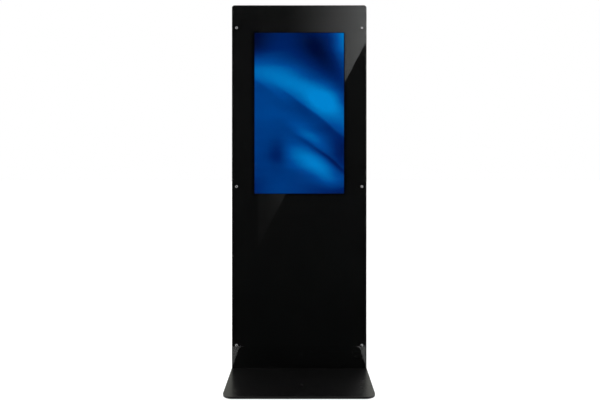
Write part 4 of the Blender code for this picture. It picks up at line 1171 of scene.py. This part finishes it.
playerFit = {
    "ports": ((0.0062, 0.0026), (0.0062, 0.0026), (0.0078, 0.0065), (0.0072, 0.0030)), "wall": 0.0006,
    "firstPort": 0.024, "portGap": 0.010, "portDepth": 0.011, "radii": (0.0009, 0.0005), "proud": 0.0012,
    "lampDrop": 0.014, "lamp": (0.0016, 0.0008), "lampDimple": 0.2,
    "screwInset": 0.012, "screwSet": 0.001, "screw": (0.0026, 0.0014),
}


# ports on the player's side: metal shells, each round a thin black plug of painted shade that stands for the
# port's dark inside and a tongue in front of it, and a status lamp beside the button
def addPlayerFit():
    low, high = boxOf("media_player")
    face, depth = high[0] + hair, low[1] + playerFit["portDepth"]
    wall, (outside, inside) = playerFit["wall"], playerFit["radii"]
    shells, tonguesAndShadePlugs = [], []
    z = high[2] - playerFit["firstPort"]

    # a part of a port's filling, either the black plug of painted shade or the tongue: how far it starts and
    # ends from the face, and its reach each way
    def fill(start, end, back, front, lift, radius):
        low, high = (face + start, depth - back, z - lift), (face + end, depth + front, z + lift)
        return block(low, high, "x", radius, 0.0001)
    for tall, wide in playerFit["ports"]:
        outer, inner = roundRect(wide + wall, tall + wall, outside), roundRect(wide, tall, inside)
        shells.append(ringPiece(outer, inner, 0, playerFit["proud"], 0.0002, "x", (face, depth, z)))
        # painted shade: a thin black plug across the mouth stands for the dark inside of the port
        tonguesAndShadePlugs.append(fill(0, 0.0004, wide * 0.98, wide * 0.98, tall * 0.98, 0.0004))
        tonguesAndShadePlugs.append(fill(0.0003, 0.0010, wide * 0.25, wide * 0.15, tall * 0.8, 0.0003))
        z -= 2 * tall + playerFit["portGap"]
    makePiece("playerPorts", joined(*shells), "stainless")
    makePiece("playerPortTonguesAndShade", joined(*tonguesAndShadePlugs), "black_plastic")
    button = middleOf("player_button")
    lamp = (low[0] - hair, button[1], button[2] - playerFit["lampDrop"])
    lens = domeHead(lamp, "x", -1, *playerFit["lamp"], playerFit["lampDimple"])
    skin = makeMaterial("status lens", litLens(lampTones["green"]), {"Emission Strength": 1.2})
    makePiece("playerLamp", lens, "black_plastic", skin=skin)
    plate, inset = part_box("player_bracket"), playerFit["screwInset"]
    places = [
        (x, button[1] + playerFit["screwSet"], plate[1][2] + hair)
        for x in (plate[0][0] + inset, plate[1][0] - inset)
    ]
    makePiece("playerBracketScrews", screwHeads(places, "z", 1, playerFit["screw"]), "zinc_steel")


boardFit = {
    "thick": 0.0016, "cover": (0.0784, 0.0434), "lidDepth": 0.0060, "lidProud": 0.0004,
    "sockets": 4, "socketPitch": 0.034, "socketShift": 0.014, "socketHalf": 0.009, "socketTop": 0.0056,
    "socketSpan": (0.001, 0.0088),
    "cans": ((-0.083, 0.038), (-0.083, 0.022), (-0.083, 0.006)), "can": 0.0030,
    "canEdge": ((1, 0.0001), (1, 0.0006), (0.93, 0.0010), (1, 0.0014), (1, 0.0082), (0.86, 0.0088)),
    "screw": (0.0028, 0.0015), "screwAt": (0.085, 0.050),
}


# the display's driver board: a lid whose vents are painted shade, edge connectors, round capacitors and
# corner screws
def addBoardFit():
    low, high = boxOf("display_board")
    middle = (low + high) / 2
    top = low[1] + boardFit["thick"]
    wide, tall = boardFit["cover"]
    bottom, roof = high[1] - boardFit["lidDepth"], high[1] + boardFit["lidProud"]
    start, end = (middle[0] - wide, bottom, middle[2] - tall), (middle[0] + wide, roof, middle[2] + tall)
    lid = block(start, end, "y", 0.0012, 0.0008)
    # the lid wears the perforated cover's finish, so its vents are painted shade, not holes
    makePiece("boardLid", lid, "supply_case")
    sockets = []
    half, span = boardFit["socketHalf"], boardFit["socketSpan"]
    for x, _, _ in spaced(boardFit["sockets"], boardFit["socketPitch"]):
        x += middle[0] + boardFit["socketShift"]
        end = (x + half, top + boardFit["socketTop"], low[2] + span[1])
        sockets.append(block((x - half, top + hair, low[2] + span[0]), end, "y", 0.0008, 0.0004))
    makePiece("boardSockets", joined(*sockets), "black_plastic")
    profile = [(boardFit["can"] * share, level) for share, level in boardFit["canEdge"]]
    cans = [turned(profile, "y", (middle[0] + x, top, middle[2] + z), 24) for x, z in boardFit["cans"]]
    makePiece("boardCapacitors", joined(*cans), "black_aluminium")
    head = domeHead((0, top + hair, 0), "y", 1, *boardFit["screw"])
    across, up = boardFit["screwAt"]
    places = fourPlaces(middle[0] - across, middle[0] + across, middle[2] - up, middle[2] + up, 0)
    makePiece("boardScrews", copies(head, places), "zinc_steel")


railFit = {"across": (-0.24, -0.12, 0.12, 0.24), "sheet": 0.002, "screw": (0.0045, 0.0028)}


# four screws along each display rail
def addRailFit():
    places = []
    for level in ("lower", "upper"):
        low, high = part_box(f"display_rail_{level}")
        face = low[1] + railFit["sheet"]
        places += [(x, face + hair, (low[2] + high[2]) / 2) for x in railFit["across"]]
    makePiece("railScrews", screwHeads(places, "y", 1, railFit["screw"]), "zinc_steel")


ribbonFit = {
    "half": 0.011, "thick": 0.00015, "wave": 0.0022, "steps": 15,
    "seat": 0.0026, "overlap": 0.004, "clear": 0.0004,
}


# the touch sensor's flat tail: a thin strip whose run sways once on its way to the controller
def addTouchRibbon():
    low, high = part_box("touch_controller")
    overlap, steps = ribbonFit["overlap"], ribbonFit["steps"]
    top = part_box("display_bezel")[0][2] - ribbonFit["clear"]
    share = np.linspace(0, 1, steps)
    sway = np.sin(share * 2 * math.pi) * np.sin(share * math.pi)
    depth = low[1] + ribbonFit["seat"] + ribbonFit["wave"] * sway
    z = high[2] - overlap + (top - high[2] + overlap) * share
    half, thick = ribbonFit["half"], ribbonFit["thick"]
    corners = np.array([(-half, -thick), (half, -thick), (half, thick), (-half, thick)])
    rings = np.empty((steps, 4, 3))
    rings[..., 0] = middleOf("touch_controller")[0] + corners[:, 0]
    rings[..., 1] = depth[:, None] + corners[:, 1]
    rings[..., 2] = z[:, None]
    makePiece("touchRibbon", stack(rings), "cable_jacket", skin=makeMaterial("flat ribbon", ribbonSkin, {}))


# amber film with fine copper tracks that run along it, 1 mm apart
def ribbonSkin(place):
    track = stripes(place.axis("X"), 1000, 0.45, 0.55)
    return {
        "Base Color": track.blend((0.32, 0.14, 0.02), (0.55, 0.30, 0.06)),
        "Roughness": place.noise(200) * 0.1 + 0.25,
        "Relief": (track, 0.00003),
    }


clipFit = {
    "levels": (0.20, 0.31, 0.42), "near": 0.012, "ring": 0.0042, "half": 0.0045, "thick": 0.0007,
    "stem": 0.002, "stemFrom": 0.0014, "stemTo": 0.0006, "tall": 0.004,
    "foot": (-0.004, 0.015), "footSpan": (0.0003, 0.0016),
    "screwAt": 0.010, "screwLift": 0.0017, "screw": (0.0024, 0.0014),
}


# saddles that hold the mains lead against the front sheet: a band round the lead on a foot with one screw
def addLeadClips():
    points = np.array([corner.co for corner in nodes["mains_lead"].data.vertices])
    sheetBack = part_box("front_sheet")[1][1]
    ring, stem, tall = pick(clipFit, "ring stem tall")
    (left, right), (rear, front) = clipFit["foot"], (sheetBack + value for value in clipFit["footSpan"])
    inner = ring * circle(24)
    outer = (ring + 2 * clipFit["thick"]) * circle(24)
    bands, places = [], []
    for level in clipFit["levels"]:
        near = points[np.abs(points[:, 2] - level) < clipFit["near"]]
        x, y = near[:, 0].mean(), near[:, 1].mean()
        low, high = level - tall, level + tall
        stemFoot, stemTop = sheetBack + clipFit["stemFrom"], y - ring - clipFit["stemTo"]
        bands += [
            ringPiece(outer, inner, -clipFit["half"], clipFit["half"], 0.0002, "z", (x, y, level)),
            block((x - stem, stemFoot, low), (x + stem, stemTop, high), "y", 0.0006, 0.0002),
            block((x + left, rear, low), (x + right, front, high), "y", 0.0010, 0.0003),
        ]
        places.append((x + clipFit["screwAt"], sheetBack + clipFit["screwLift"], level))
    makePiece("leadClips", joined(*bands), "black_plastic")
    makePiece("leadClipScrews", screwHeads(places, "y", 1, clipFit["screw"]), "zinc_steel")


earthFit = {
    "stud": (0.235, 0.150), "radius": 0.0014, "from": (0.008, -0.0002, -0.008), "out": -0.010,
    "bend": (0.010, 0.128, 0.006),
    "end": ((-0.004, 0.118, -0.030), (0, 0.1135, -0.012), (0, 0.1130, -0.0045)),
    "gap": 0.0003, "washers": ((0.0060, 0.0021, 0.0, 0.0010), (0.0044, 0.0021, 0.0036, 0.0050)),
    "nut": (0.0046, 0.0021, 0.0052, 0.0084),
    "thread": ((0.0016, 0.0), (0.0020, 0.0004), (0.0020, 0.0106), (0.0015, 0.0112)),
}


# striped sleeve: green with a yellow band along one side of its run
def earthSkin(place):
    turn = (place.axis("Z") * 90 + place.axis("X") * 60).maths("FRACT").rise(0.66, 0.70)
    return {
        "Base Color": turn.blend((0.02, 0.16, 0.03), (0.62, 0.50, 0.02)),
        "Roughness": place.noise(400) * 0.1 + 0.38,
        "Relief": (place.noise(1200), 0.00002),
    }


# the lead from the inlet's back to its stud, and the stud with its washers and nut
def addEarthLead():
    x, z = earthFit["stud"]
    low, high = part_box("power_inlet")
    across, back, up = earthFit["from"]
    start = ((low[0] + high[0]) / 2 + across, low[1] + back, (low[2] + high[2]) / 2 + up)
    right, depth, raised = earthFit["bend"]
    route = [
        start,
        (start[0], start[1] + earthFit["out"], start[2]),
        (start[0] + right, depth, start[2] + raised),
        *((x + beside, depth, z + lift) for beside, depth, lift in earthFit["end"]),
    ]
    lead = tube(smoothRoute(route), earthFit["radius"], 10, (1, 0, 0))
    makePiece("earthLead", lead, "cable_jacket", skin=makeMaterial("earth sleeve", earthSkin, {}))
    centre = (x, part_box("front_sheet")[1][1] + earthFit["gap"], z)
    foot, lock = (washer(centre, "y", *size) for size in earthFit["washers"])
    nut = hexNut(centre, "y", *earthFit["nut"])
    thread = turned(earthFit["thread"], "y", centre, 20)
    makePiece("earthStud", joined(foot, nut, lock, thread), "zinc_steel")


for build in (
    addGlassFixings, addBaseFixings, addInletPins, addSocketFit, addPlateScrews, addRivets, addHingeScrews,
    addFanFit, addFilterHolder, addLockFit, addSupplyFit, addPlayerFit, addBoardFit, addRailFit,
    addTouchRibbon, addLeadClips, addEarthLead,
):
    build()
    print(build.__name__, "done")
